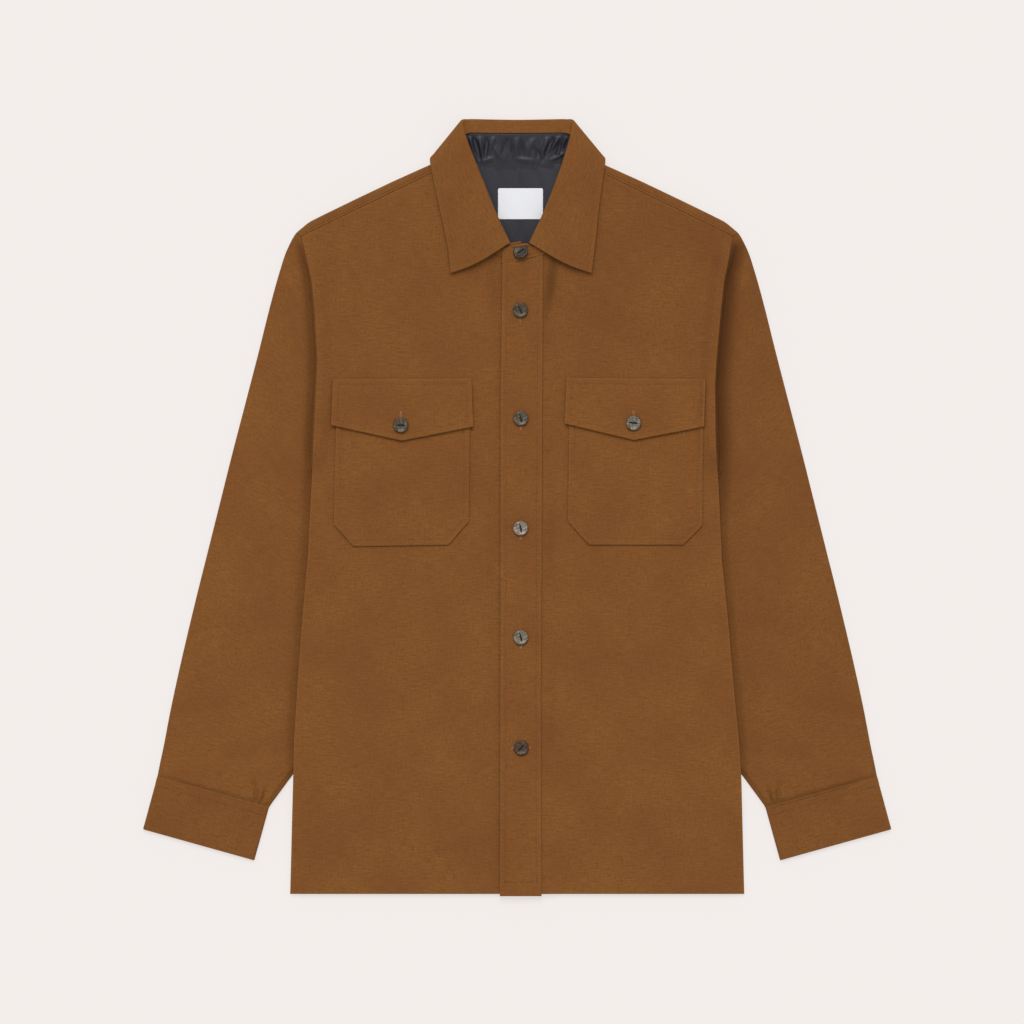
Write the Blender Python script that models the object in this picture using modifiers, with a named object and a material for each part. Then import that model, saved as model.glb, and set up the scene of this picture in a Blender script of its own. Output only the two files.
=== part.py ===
"""Overshirt laid flat, front up: back, fronts, sleeves, cuffs, collar, pockets and buttons.

Lengths are in millimetres, and go to metres where a mesh is made. +X is the wearer's left,
+Y runs from the hem to the collar and +Z is up. The overshirt lies on the plane Z = 0, and
the origin is below the middle of its outline.
"""
import math

import bpy
from mathutils import Vector

MM = 0.001

# Walls and the room between them
CLOTH = 1.5                # brushed cotton with its facing
COLLAR_WALL = 1.5          # two plies and an interlining
CUFF_WALL = 2.0
LINING_WALL = 1.0
LABEL_WALL = 0.8
GAP = 0.3                  # between pieces that are sewn together or lie on each other
AIR = 1.6                  # between the back and the fronts
STEP_UP = CLOTH + GAP      # from one ply of cloth to the next

# Heights along +Y
HEM = -386.6
PLACKET_END = -388.6
UNDERARM = 32.0
SHOULDER_END = 268.5       # top of the front's armhole edge
NECK_SEAM = 337.0          # back neck, at the centre
COLLAR_TOP = 388.0

# The body's side edge: height, reach on the wearer's right, reach on the left
BODY_EDGE = (
    (HEM, 227.0, 227.0),
    (-266.0, 223.7, 223.8),
    (-233.0, 223.1, 221.7),
    (-183.0, 220.0, 216.8),
    (-113.0, 215.0, 210.8),
    (-53.0, 209.5, 204.6),
    (20.0, 205.7, 201.4),
    (64.0, 203.5, 198.2),
    (121.0, 200.9, 197.5),
    (147.0, 199.8, 199.1),
    (194.0, 202.4, 203.3),
    (226.0, 205.5, 206.7),
    (247.0, 210.0, 211.2),
    (SHOULDER_END, 215.7, 215.2),
)
# Heights of the body panels' rows up the side edge; the last is the shoulder
BODY_ROWS = (HEM, -350, -310, -270, -230, -190, -150, -110, -70, -35, 0, UNDERARM,
             50, 68, 86, 104, 122, 142, 165, 190, 215, 236, 254, SHOULDER_END)

ARMHOLE_TUCK = 8.0         # how far the sleeve goes under the front's armhole edge
# How far the sleeve's inner edge lies in from the body's edge, under the body: height, depth.
# Below the point where the sleeve comes out from under the body the depth is negative.
TUCK = (
    (-299.5, -23.4),
    (-266.0, 0.3),
    (-250.0, 14.0),
    (-215.0, 38.0),
    (-180.0, 50.0),
    (-100.0, 55.0),
    (-40.0, 55.0),
    (0.0, 45.0),
    (20.0, 25.0),
    (UNDERARM, ARMHOLE_TUCK),
    (275.0, ARMHOLE_TUCK),
)
SLEEVE_LEAVES = -272.0     # below this height nothing lies under the body
SLEEVE_PILE = 4.2          # how far the sleeve lifts the body that lies on it
SLEEVE_RAMP = 80.0         # width over which the body comes down to the table, beside the sleeve
SLEEVE_FADE = 105.0        # the same, above the underarm and below the cuff
SLEEVE_DEEPEST = 65.0      # from the body's edge the lift is whole as far in as this
ARMHOLE_RISE = 1.1         # lift of the front's edge on the sleeve, above the underarm
EDGE_ROLL = 14.0           # width of the front's edge that turns down, or up on the sleeve

# Sleeve sections from the head to the cuff seam: outer fold x and y, height of the inner edge
SLEEVE_SECTIONS = (
    (220.8, 274.3, 255.0),
    (229.8, 258.0, 238.0),
    (237.6, 235.0, 205.0),
    (246.5, 203.0, 165.0),
    (258.5, 155.0, 115.0),
    (272.5, 101.0, 60.0),
    (285.0, 53.0, 12.0),
    (297.0, 5.0, -40.0),
    (309.0, -43.0, -90.0),
    (321.5, -93.0, -145.0),
    (335.5, -152.0, -190.0),
    (346.0, -200.0, -232.0),
    (353.3, -238.0, -266.0),
    (356.9, -255.0, -284.0),
    (359.6, -268.6, -299.5),
)
# Where the front wall's columns stand, as shares of the width from the inner edge
SLEEVE_COLUMNS = (0, 0.04, 0.065, 0.09, 0.12, 0.16, 0.3, 0.45, 0.6, 0.75, 0.88, 1)
SLEEVE_PUFF = 2.3          # how far the sleeve's front wall stands off its back wall
# Pleats at the cuff seam: share of the width from the inner edge, height
SLEEVE_PLEATS = ((0.065, 1.3), (0.12, 1.1))
PLEAT_REACH = 32.0         # how far a pleat runs up the sleeve
PLEAT_WIDTH = 0.025        # its half width, as a share of the sleeve's
# Cuff corners: seam outer, hem outer, hem inner, seam inner
CUFF_CORNERS = ((359.6, -268.6), (374.1, -322.0), (262.8, -353.1), (248.0, -299.5))

# The shoulder's fold, from the neck outwards, and the seam in front of it: x, y
SHOULDER_FOLD = ((70.0, 349.5), (88.2, 341.8), (125.0, 325.2), (159.0, 309.0),
                 (192.0, 293.0), (208.0, 285.0), (220.0, 275.0))
SHOULDER_SEAM = ((69.5, 341.5), (88.2, 332.5), (104.0, 324.9), (120.0, 317.2),
                 (135.0, 309.9), (150.0, 302.7), (165.0, 295.5), (180.0, 288.2),
                 (192.0, 282.4), (202.0, 277.6), (209.0, 274.2), (214.0, 271.0))
BACK_NECK = ((0.0, NECK_SEAM), (18.0, 337.4), (36.0, 338.8), (52.0, 341.0), (63.0, 344.4))
NECK_PILE = 2.4            # how far the collar's back lifts the back panel at the neck

# Front necklines from the front edge to the shoulder: x, y from the collar's own middle
LEFT_NECKLINE = ((-18.4, 241.8), (0.0, 244.0), (23.2, 251.2), (46.0, 277.0),
                 (58.0, 305.0), (64.0, 325.0))
RIGHT_NECKLINE = ((-20.0, 244.0), (0.0, 244.0), (23.2, 251.2), (46.0, 277.0),
                  (58.0, 305.0), (64.0, 325.0))
FRONT_EDGE = {"left": (-17.2, -15.1), "right": (22.0, 20.0)}   # x at the hem and at the neck
OVERLAP_RAMP = (25.0, 47.0)  # where the left front comes down beside the closing
COLLAR_LEAN = 4.0          # the collar's points lie this far towards the wearer's left

# Placket: height, left edge, right edge
PLACKET = ((PLACKET_END, -17.4, 24.4), (-193.0, -17.0, 23.8), (27.0, -16.7, 25.0),
           (107.0, -16.7, 25.2), (243.4, -15.0, 25.9))
PLACKET_TOP = ((-15.0, 242.9), (-0.9, 244.6), (13.0, 248.4), (25.9, 252.2))

# Pockets: outline from the top inner corner, round the bottom, to the top outer corner
POCKETS = {
    "right": ((46.9, 111.0), (48.2, -14.2), (68.6, -37.8), (163.6, -39.3), (184.3, -17.3),
              (180.6, 111.0)),
    "left": ((51.6, 111.0), (49.3, -14.2), (71.9, -37.8), (165.7, -37.8), (185.0, -18.6),
             (185.6, 111.0)),
}
# Flaps: top inner, bottom inner, point, bottom outer, top outer
FLAPS = {
    "right": ((45.6, 128.7), (43.7, 80.2), (115.2, 66.2), (185.9, 81.7), (184.3, 128.1)),
    "left": ((48.9, 129.3), (47.3, 83.4), (116.6, 66.8), (186.4, 80.2), (188.0, 128.1)),
}
FLAP_SETTLE = 15.0         # below its seam the flap lies on the pocket after this much

# Buttons: 24 ligne, two holes in an eye-shaped hollow
BUTTON_WIDTH = 15.0
BUTTON_TALL = 2.8
BUTTON_EYE = (9.6, 2.4, 0.9)    # length, width, depth
BUTTON_HOLE = (1.7, 2.0)        # diameter, distance from the middle
# name, x, y, turn of the eye in degrees, what it lies on
BUTTONS = (
    ("button_stand", 3.8, 255.9, 35, "stand"),
    ("button_1", 3.2, 196.6, -65, "placket"),
    ("button_2", 3.6, 88.6, -66, "placket"),
    ("button_3", 3.4, -21.1, -80, "placket"),
    ("button_4", 3.6, -130.0, -74, "placket"),
    ("button_5", 4.0, -240.3, 48, "placket"),
    ("button_pocket_right", -116.2, 81.8, 0, "flap"),
    ("button_pocket_left", 116.2, 84.1, -3, "flap"),
)

# Soft swells of the fronts: x, y, half length, half width, angle of the length, height
SWELLS = (
    (-120.0, 190.0, 90.0, 55.0, 65.0, 1.0),
    (125.0, 205.0, 80.0, 50.0, -50.0, 0.9),
    (-150.0, -130.0, 150.0, 55.0, 82.0, 1.1),
    (-75.0, -250.0, 120.0, 50.0, 70.0, 0.9),
    (95.0, -110.0, 140.0, 55.0, -80.0, 1.0),
    (160.0, -270.0, 110.0, 50.0, -65.0, 1.1),
    (-70.0, 40.0, 90.0, 45.0, 15.0, 0.6),
    (100.0, -330.0, 90.0, 45.0, 10.0, 0.7),
)

# Lines round the collar, from the front end to the centre back: x, y, z of the wall's middle.
# The ridge is where the collar folds over, the edge is its free edge, and the seam is where
# it joins the stand. Each row is one station, and the turn is the fold at the collar's side.
COLLAR_STATIONS = (
    # name     ridge                   edge                    seam                 stand's z
    ("front", (10.0, 264.5, 12.0), (69.9, 233.7, 8.4), (13.6, 262.7, 10.0), 9.4),
    ("lower", (20.2, 290.8, 13.2), (73.8, 262.0, 8.6), (23.7, 288.9, 11.2), 11.0),
    ("middle", (30.8, 318.0, 13.6), (79.3, 296.0, 8.9), (34.4, 316.4, 11.6), 11.4),
    ("upper", (41.2, 345.0, 12.8), (84.3, 326.0, 8.9), (44.8, 343.2, 10.8), 10.6),
    ("top", (50.2, 375.0, 11.2), (86.7, 343.6, 8.6), (52.4, 367.5, 9.8), 9.4),
    ("turn", (53.6, 386.0, 7.3), (87.4, 349.0, 4.6), (52.0, 372.4, 7.8), 7.2),
    ("under", (48.5, 387.1, 4.0), (83.0, 341.5, 0.9), (46.5, 374.8, 5.9), 5.0),
    ("side", (28.0, 387.1, 3.3), (48.0, 333.5, 0.9), (28.0, 375.0, 6.3), 5.0),
    ("centre", (0.0, 387.1, 3.2), (0.0, 331.5, 0.9), (0.0, 375.0, 6.3), 5.0),
)
STAND_CLEAR = 2.2          # from the fall's seam line to the stand's top edge
RIDGE_ROUND = 1.6          # half height of the collar's fold
COLLAR_SWELL = 1.1         # the leaf's crown between its ridge and its edge
# Where each station's stand meets the neck: x, y, z
STAND_FOOT = (
    (21.6, 255.4, 7.2),
    (43.8, 278.4, 5.2),
    (55.8, 306.0, 5.6),
    (61.8, 326.2, 6.3),
    (65.0, 341.0, 6.8),
    (65.6, 347.4, 5.0),
    (58.5, 347.8, 3.2),
    (32.0, 340.0, 3.2),
    (0.0, 338.6, 3.2),
)
# The stand's front ends past the collar's corner: foot x, y, then top x, y
STAND_TAB = (
    (1.0, 247.4, 1.0, 262.4),
    (-12.0, 245.0, -12.0, 262.0),
    (-16.8, 245.2, -16.8, 259.4),
    (-19.4, 247.4, -19.4, 255.8),
)
TAB_Z = {"left": (7.8, 8.7), "right": (4.3, 5.1)}      # at the foot and at the top
TAB_ROOT_Z = {"left": (7.8, 9.4), "right": (4.6, 6.2)}  # the same, under the collar's corner
TAB_UNDER = 10.0           # the right end lies under the left one, this far past the middle

# Lining: half widths at the stand's top, the neck seam and its lower end
LINING_WIDTHS = {"top": 45.0, "neck": 44.0, "end": 24.0}
LINING_END = 238.0
LABEL = (-19.2, 25.8, 287.7, 318.7)      # x from, x to, y from, y to

COLOURS = {
    "cloth": (0.216, 0.088, 0.026),
    "lining": (0.031, 0.031, 0.038),
    "label": (0.80, 0.81, 0.84),
    "horn": (0.13, 0.125, 0.105),
}
ROUGHNESS = {"cloth": 0.9, "lining": 0.45, "label": 0.6, "horn": 0.3}


# ------------------------------------------------------------------ plain geometry helpers
def ease(t):
    """Go smoothly from 0 to 1 as t does."""
    t = min(max(t, 0.0), 1.0)
    return t * t * (3.0 - 2.0 * t)


def mix(a, b, t):
    return a + (b - a) * t


def read_row(table, at, column):
    """Read a column of a table between its rows, by the first column."""
    if at <= table[0][0]:
        return table[0][column]
    for low, high in zip(table, table[1:]):
        if at <= high[0]:
            return mix(low[column], high[column], (at - low[0]) / (high[0] - low[0]))
    return table[-1][column]


def smooth_line(points, steps):
    """Pass a smooth curve through the points (a centripetal spline), in steps between two."""
    ends = [2.0 * points[0] - points[1], *points, 2.0 * points[-1] - points[-2]]
    line = []
    for a, b, c, d in zip(ends, ends[1:], ends[2:], ends[3:]):
        t1 = math.sqrt((b - a).length)
        t2 = t1 + math.sqrt((c - b).length)
        t3 = t2 + math.sqrt((d - c).length)
        for step in range(steps):
            t = mix(t1, t2, step / steps)
            ab, bc, cd = mix(a, b, t / t1), mix(b, c, (t - t1) / (t2 - t1)), mix(c, d, (t - t2) / (t3 - t2))
            line.append(mix(mix(ab, bc, t / t2), mix(bc, cd, (t - t1) / (t3 - t1)), (t - t1) / (t2 - t1)))
    line.append(points[-1])
    return line


def shares(values):
    """Turn rising values into shares from 0 to 1."""
    return [(value - values[0]) / (values[-1] - values[0]) for value in values]


def fill_between(bottom, top, first, last, across, up):
    """Fill the plan area between four edges with rows of points (a Coons patch)."""
    rows = []
    for i, v in enumerate(up):
        row = []
        for j, u in enumerate(across):
            ruled = (mix(bottom[j], top[j], v) + mix(first[i], last[i], u)
                     - mix(mix(bottom[0], bottom[-1], u), mix(top[0], top[-1], u), v))
            row.append(ruled)
        rows.append(row)
    return rows


# ------------------------------------------------------------------ how high each layer lies
def body_edge(side, y):
    """Reach of the body's side edge from the middle."""
    return read_row(BODY_EDGE, y, 2 if side > 0 else 1)


def sleeve_edge(side, y):
    """Reach of the sleeve's inner edge from the middle."""
    return body_edge(side, y) - read_row(TUCK, y, 1)


def collar_lean(y):
    """How far the collar lies towards the wearer's left at this height."""
    low = COLLAR_STATIONS[0][2][1]
    return COLLAR_LEAN * min(max((COLLAR_TOP - y) / (COLLAR_TOP - low), 0.0), 1.0) ** 2


def back_height(x, y):
    """Middle of the back's wall: flat on the table, lifted by the sleeves and the collar."""
    side = 1 if x > 0 else -1
    inner = body_edge(side, min(y, UNDERARM)) - SLEEVE_DEEPEST
    across = ease((abs(x) - inner + SLEEVE_RAMP) / SLEEVE_RAMP)
    above = ease((UNDERARM + SLEEVE_FADE - y) / (SLEEVE_FADE - 5.0))
    below = ease((y - SLEEVE_LEAVES + SLEEVE_FADE) / SLEEVE_FADE)
    neck = ease((y - 220.0) / 107.0)
    return CLOTH / 2 + SLEEVE_PILE * across * above * below + NECK_PILE * neck


def swell(x, y):
    """Soft swells of the cloth, which fade out at their ends."""
    total = 0.0
    for at_x, at_y, length, width, angle, height in SWELLS:
        turn = math.radians(angle)
        along = (x - at_x) * math.cos(turn) + (y - at_y) * math.sin(turn)
        across = (y - at_y) * math.cos(turn) - (x - at_x) * math.sin(turn)
        reach = math.hypot(along / length, across / width)
        total += height * ease(1.0 - reach)
    return total


def front_height(side, x, y):
    """Middle of a front's wall: on the back, turned down at the side seam."""
    height = back_height(x, y) + CLOTH + AIR + swell(x, y)
    above_underarm = ease((y - UNDERARM) / 30.0)
    inside = body_edge(side, y) - abs(x)
    height += (GAP - AIR) * (1.0 - ease(inside / EDGE_ROLL)) * (1.0 - above_underarm)
    height += ARMHOLE_RISE * (1.0 - ease((inside - ARMHOLE_TUCK - 1.0) / EDGE_ROLL)) * above_underarm
    if side > 0:
        low, high = OVERLAP_RAMP
        height += STEP_UP * ease((high - x) / (high - low))
    return height


# ------------------------------------------------------------------ making objects
def new_collection(name):
    collection = bpy.data.collections.new(name)
    bpy.context.scene.collection.children.link(collection)
    return collection


def make_material(name):
    material = bpy.data.materials.new(name)
    material.use_nodes = True
    shader = material.node_tree.nodes["Principled BSDF"]
    shader.inputs["Base Color"].default_value = (*COLOURS[name], 1.0)
    shader.inputs["Roughness"].default_value = ROUGHNESS[name]
    shader.inputs["Metallic"].default_value = 0.0
    return material


def sheet(name, rows, wall, material, ring=False, missing=(), even=True):
    """Make a wall of cloth from rows of points on its middle, by Solidify."""
    count = len(rows[0])
    corners = [tuple(point * MM) for row in rows for point in row]
    faces = []
    for i in range(len(rows) - 1):
        for j in range(count if ring else count - 1):
            if (i, j) in missing:
                continue
            k = (j + 1) % count
            faces.append((i * count + j, i * count + k, (i + 1) * count + k, (i + 1) * count + j))
    mesh = bpy.data.meshes.new(name)
    mesh.from_pydata(corners, [], faces)
    loose = set(range(len(corners))) - {corner for face in faces for corner in face}
    if loose:
        drop_points(mesh, loose)
    mesh.shade_smooth()
    mesh.set_sharp_from_angle(angle=math.radians(50))
    obj = bpy.data.objects.new(name, mesh)
    GARMENT.objects.link(obj)
    mesh.materials.append(material)
    solid = obj.modifiers.new("wall", "SOLIDIFY")
    solid.thickness = wall * MM
    solid.offset = 0.0
    solid.use_even_offset = even
    return obj


def drop_points(mesh, loose):
    """Take out the points that no face uses."""
    import bmesh
    work = bmesh.new()
    work.from_mesh(mesh)
    work.verts.ensure_lookup_table()
    bmesh.ops.delete(work, geom=[work.verts[k] for k in sorted(loose)], context="VERTS")
    work.to_mesh(mesh)
    work.free()


def at_height(rows, height):
    """Give rows of plan points their height, by a function of x and y."""
    return [[Vector((p.x, p.y, height(p.x, p.y))) for p in row] for row in rows]


# ------------------------------------------------------------------ body
def make_back(cloth):
    """The back, in one piece, which comes over the shoulders to the seams in front."""
    half = [*BACK_NECK, *SHOULDER_FOLD]
    columns = [(-x, y) for x, y in reversed(half)] + half[1:]
    top = [Vector(point) for point in columns]
    across = shares([point.x for point in top])
    reach = body_edge(1, HEM)
    bottom = [Vector((mix(-reach, reach, u), HEM)) for u in across]
    sides = []
    for side in (-1, 1):
        edge = []
        for y in BODY_ROWS[:-1]:
            inset = 0.0 if y <= UNDERARM else ARMHOLE_TUCK + 1.0
            edge.append(Vector((side * (body_edge(side, y) - inset), y)))
        edge.append(Vector((side * SHOULDER_FOLD[-1][0], SHOULDER_FOLD[-1][1])))
        sides.append(edge)
    up = shares(BODY_ROWS)
    plan = fill_between(bottom, top, sides[0], sides[1], across, up)
    rows = at_height(plan, back_height)

    # Over the shoulder: the wall turns round its fold and lies down to the seam in front
    radius = (CLOTH + AIR) / 2
    fold = radius + CLOTH / 2
    last = rows[-1]
    turned = [[], [], [], []]
    for j, point in enumerate(last):
        side = 1 if point.x > 0 else -1
        before, after = last[max(j - 1, 0)], last[min(j + 1, len(last) - 1)]
        outward = Vector((before.y - after.y, after.x - before.x, 0.0)).normalized()
        base = point - outward * fold
        for k, angle in enumerate((-50.0, 0.0, 50.0)):
            turn = math.radians(angle)
            turned[k].append(base + outward * radius * math.cos(turn)
                             + Vector((0.0, 0.0, radius * (1.0 + math.sin(turn)))))
        seam_x = min(abs(point.x), SHOULDER_SEAM[-1][0])
        seam_y = read_row(SHOULDER_SEAM, seam_x, 1) + GAP
        x = side * seam_x
        turned[3].append(Vector((x, seam_y, front_height(-1, x, seam_y))))
        last[j] = base if abs(point.x) >= SHOULDER_FOLD[0][0] else point
    rows += turned
    neck = BACK_NECK[-1][0] + 1.0
    missing = {(len(plan) - 1 + k, j) for k in range(4) for j in range(len(last) - 1)
               if min(abs(top[j].x), abs(top[j + 1].x)) < neck}
    return sheet("back", rows, CLOTH, cloth, missing=missing)


def front_rows(side_name):
    """Rows of points of a front, from the hem to the neckline and the shoulder seam."""
    side = 1 if side_name == "left" else -1
    neckline = LEFT_NECKLINE if side > 0 else RIGHT_NECKLINE
    half = [Vector((side * x + collar_lean(y), y)) for x, y in neckline]
    half += [Vector((side * x, y - GAP)) for x, y in SHOULDER_SEAM]
    half[-1] = Vector((side * body_edge(side, SHOULDER_END), SHOULDER_END))
    first_x = FRONT_EDGE[side_name]
    half[0].x = first_x[1]
    across = shares([point.x for point in half])
    outer_x = side * body_edge(side, HEM)
    bottom = [Vector((mix(first_x[0], outer_x, u), HEM)) for u in across]
    up = shares(BODY_ROWS)
    inner = [Vector((mix(first_x[0], first_x[1], v), mix(HEM, half[0].y, v))) for v in up]
    outer = [Vector((side * body_edge(side, y), y)) for y in BODY_ROWS]
    plan = fill_between(bottom, half, inner, outer, across, up)
    return at_height(plan, lambda x, y: front_height(side, x, y))


def make_placket(cloth):
    """The buttonhole strip on the left front's edge."""
    heights = [PLACKET_END, *BODY_ROWS[1:-1]]
    across = (0.0, 0.34, 0.67, 1.0)
    left = [Vector((read_row(PLACKET, y, 1), y)) for y in heights]
    right = [Vector((read_row(PLACKET, y, 2), y)) for y in heights]
    left[-1] = Vector(PLACKET_TOP[0])
    right[-1] = Vector(PLACKET_TOP[-1])
    bottom = [mix(left[0], right[0], u) for u in across]
    top = [Vector(point) for point in PLACKET_TOP]
    plan = fill_between(bottom, top, left, right, across, shares(heights))
    return sheet("placket", at_height(plan, placket_height), CLOTH, cloth)


def placket_height(x, y):
    """Middle of the placket's wall, on the left front."""
    return front_height(1, x, y) + STEP_UP


# ------------------------------------------------------------------ pockets
def make_pocket(side_name, cloth):
    side = 1 if side_name == "left" else -1
    inner_top, inner_low, base_in, base_out, outer_low, outer_top = POCKETS[side_name]
    across = (0.0, 0.15, 0.25, 0.35, 0.45, 0.55, 0.65, 0.75, 0.85, 1.0)
    base = [mix(Vector(base_in), Vector(base_out), (u - across[1]) / (across[-2] - across[1]))
            for u in across]
    bottom = [Vector(inner_low), *base[1:-1], Vector(outer_low)]
    top = [mix(Vector(inner_top), Vector(outer_top), u) for u in across]
    up = [k / 8 for k in range(9)]
    inner = [mix(Vector(inner_low), Vector(inner_top), v) for v in up]
    outer = [mix(Vector(outer_low), Vector(outer_top), v) for v in up]
    plan = [[Vector((side * p.x, p.y)) for p in row]
            for row in fill_between(bottom, top, inner, outer, across, up)]
    rows = at_height(plan, lambda x, y: front_height(side, x, y) + STEP_UP)
    return sheet("pocket_" + side_name, rows, CLOTH, cloth)


def flap_height(side_name, x, y):
    """Middle of a flap's wall: from its seam on the front it comes to lie on the pocket."""
    side = 1 if side_name == "left" else -1
    seam_y = FLAPS[side_name][0][1]
    return front_height(side, x, y) + STEP_UP * (1.0 + ease((seam_y - y) / FLAP_SETTLE))


def make_flap(side_name, cloth):
    side = 1 if side_name == "left" else -1
    inner_top, inner_low, point, outer_low, outer_top = map(Vector, FLAPS[side_name])
    across = [k / 8 for k in range(9)]
    bottom = [mix(inner_low, point, 2 * u) if u <= 0.5 else mix(point, outer_low, 2 * u - 1)
              for u in across]
    top = [mix(inner_top, outer_top, u) for u in across]
    up = (0.0, 0.3, 0.6, 0.75, 0.88, 1.0)
    inner = [mix(inner_low, inner_top, v) for v in up]
    outer = [mix(outer_low, outer_top, v) for v in up]
    plan = [[Vector((side * p.x, p.y)) for p in row]
            for row in fill_between(bottom, top, inner, outer, across, up)]
    rows = at_height(plan, lambda x, y: flap_height(side_name, x, y))
    return sheet("flap_" + side_name, rows, CLOTH, cloth)


# ------------------------------------------------------------------ sleeves
def make_sleeve(side_name, cloth):
    """One piece of cloth folded along its outer edge, its two long edges at the underarm."""
    side = 1 if side_name == "left" else -1
    low, high = CLOTH / 2, CLOTH * 1.5 + 2 * GAP
    radius = (high - low) / 2
    cuff = Vector(SLEEVE_SECTIONS[-1][:2])
    rows = []
    for outer_x, outer_y, inner_y in SLEEVE_SECTIONS:
        inner = Vector((sleeve_edge(side, inner_y), inner_y))
        outer = Vector((outer_x, outer_y))
        out = (outer - inner).normalized()
        flat_end = outer - out * (radius + CLOTH / 2)
        to_cuff = (outer - cuff).length
        row = []
        for share in SLEEVE_COLUMNS:
            p = mix(inner, flat_end, share)
            edge = body_edge(side, p.y)
            visible = (p.x - edge - 5.0) / max(flat_end.x - edge - 5.0, 1.0)
            puff = SLEEVE_PUFF * math.sin(math.pi * min(max(visible, 0.0), 1.0))
            puff *= mix(0.45, 1.0, ease(to_cuff / 90.0)) * ease((SHOULDER_END + 5.0 - p.y) / 90.0)
            for place, height in SLEEVE_PLEATS:
                near = ease(1.0 - abs(share - place) / PLEAT_WIDTH)
                puff += height * near * ease(1.0 - to_cuff / PLEAT_REACH)
            row.append(Vector((side * p.x, p.y, high + puff)))
        for angle in (45.0, 0.0, -45.0):
            turn = math.radians(angle)
            p = flat_end + out * radius * math.cos(turn)
            row.append(Vector((side * p.x, p.y, low + radius * (1.0 + math.sin(turn)))))
        for share in (1.0, 0.66, 0.33, 0.0):
            p = mix(inner, flat_end, share)
            row.append(Vector((side * p.x, p.y, low)))
        rows.append(row)
    return sheet("sleeve_" + side_name, rows, CLOTH, cloth)


def make_cuff(side_name, cloth):
    """A closed band, pressed flat, that takes the sleeve's end."""
    side = 1 if side_name == "left" else -1
    seam_out, hem_out, hem_in, seam_in = map(Vector, CUFF_CORNERS)
    low, high = CUFF_WALL / 2, CUFF_WALL * 1.5 + 2 * GAP
    radius = (high - low) / 2
    down = (hem_out - seam_out).normalized()
    rows = []
    for v in (0.0, 0.35, 0.7, 1.0):
        outer = mix(seam_out + down * GAP, hem_out, v)
        inner = mix(seam_in + down * GAP, hem_in, v)
        out = (outer - inner).normalized()
        a = inner + out * (radius + CUFF_WALL / 2)
        b = outer - out * (radius + CUFF_WALL / 2)
        row = [Vector((*mix(a, b, k / 5), high)) for k in range(6)]
        for angle in (45.0, 0.0, -45.0):
            turn = math.radians(angle)
            row.append(Vector((*(b + out * radius * math.cos(turn)),
                               low + radius * (1.0 + math.sin(turn)))))
        row += [Vector((*mix(b, a, k / 3), low)) for k in range(4)]
        for angle in (-45.0, 0.0, 45.0):
            turn = math.radians(angle)
            row.append(Vector((*(a - out * radius * math.cos(turn)),
                               low + radius * (1.0 + math.sin(turn)))))
        rows.append([Vector((side * p.x, p.y, p.z)) for p in row])
    return sheet("cuff_" + side_name, rows, CUFF_WALL, cloth, ring=True)


# ------------------------------------------------------------------ collar
def round_the_neck(half):
    """Mirror a line's half, so that it runs from the right front round to the left front."""
    right = [Vector((collar_lean(p.y) - p.x, p.y, p.z)) for p in half[:-1]]
    left = [Vector((collar_lean(p.y) + p.x, p.y, p.z)) for p in half[:-1]]
    return [*right, half[-1], *reversed(left)]


def make_fall(cloth):
    """The collar's leaf: over the fronts, round the shoulders and under the back neck."""
    steps = 2
    ridge = smooth_line(round_the_neck([Vector(row[1]) for row in COLLAR_STATIONS]), steps)
    edge = smooth_line(round_the_neck([Vector(row[2]) for row in COLLAR_STATIONS]), steps)
    seam = smooth_line(round_the_neck([Vector(row[3]) for row in COLLAR_STATIONS]), steps)
    rows = []
    for k, top in enumerate(ridge):
        tangent = ridge[min(k + 1, len(ridge) - 1)] - ridge[max(k - 1, 0)]
        inward = ((seam[k] + edge[k]) / 2 - top).normalized()
        over = tangent.normalized().cross(inward).normalized() * RIDGE_ROUND
        turn_in = top + inward * RIDGE_ROUND - over
        turn_out = top + inward * RIDGE_ROUND + over
        crown = COLLAR_SWELL * max(over.z / RIDGE_ROUND, 0.0)
        low, high = mix(turn_out, edge[k], 0.33), mix(turn_out, edge[k], 0.67)
        low.z += crown
        high.z += crown
        row = [seam[k], turn_in, top, turn_out, low, high, edge[k]]
        for point in row:
            point.z = max(point.z, COLLAR_WALL / 2)
        rows.append(row)
    return sheet("collar_fall", rows, COLLAR_WALL, cloth, even=False)


def make_stand(cloth):
    """The band that carries the fall, with the buttoned ends below the collar's corners."""
    foot = round_the_neck([Vector(point) for point in STAND_FOOT])
    top = []
    for row, low in zip(COLLAR_STATIONS, STAND_FOOT):
        seam = Vector((row[3][0], row[3][1], row[4]))
        top.append(seam + (Vector(low) - seam).normalized() * STAND_CLEAR)
    top = round_the_neck(top)
    foot[0].z, top[0].z = TAB_ROOT_Z["right"]
    foot[-1].z, top[-1].z = TAB_ROOT_Z["left"]
    foot, top = smooth_line(foot, 2), smooth_line(top, 2)
    for side_name, side in (("right", -1), ("left", 1)):
        foot_z, top_z = TAB_Z[side_name]
        reach = 1.0 if side > 0 else TAB_UNDER / -STAND_TAB[-1][0]
        foot_end, top_end = [], []
        for foot_x, foot_y, top_x, top_y in STAND_TAB:
            shift_foot, shift_top = collar_lean(foot_y), collar_lean(top_y)
            foot_end.append(Vector((side * foot_x * reach + shift_foot, foot_y, foot_z)))
            top_end.append(Vector((side * top_x * reach + shift_top, top_y, top_z)))
        if side > 0:
            foot, top = foot + foot_end, top + top_end
        else:
            foot, top = foot_end[::-1] + foot, top_end[::-1] + top
    rows = [[low, mix(low, high, 0.5), high] for low, high in zip(foot, top)]
    return sheet("collar_stand", rows, CLOTH, cloth, even=False)


def lining_rise():
    """From the middle of the cloth below to the middle of the lining on it."""
    return CLOTH / 2 + GAP + LINING_WALL / 2


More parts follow.
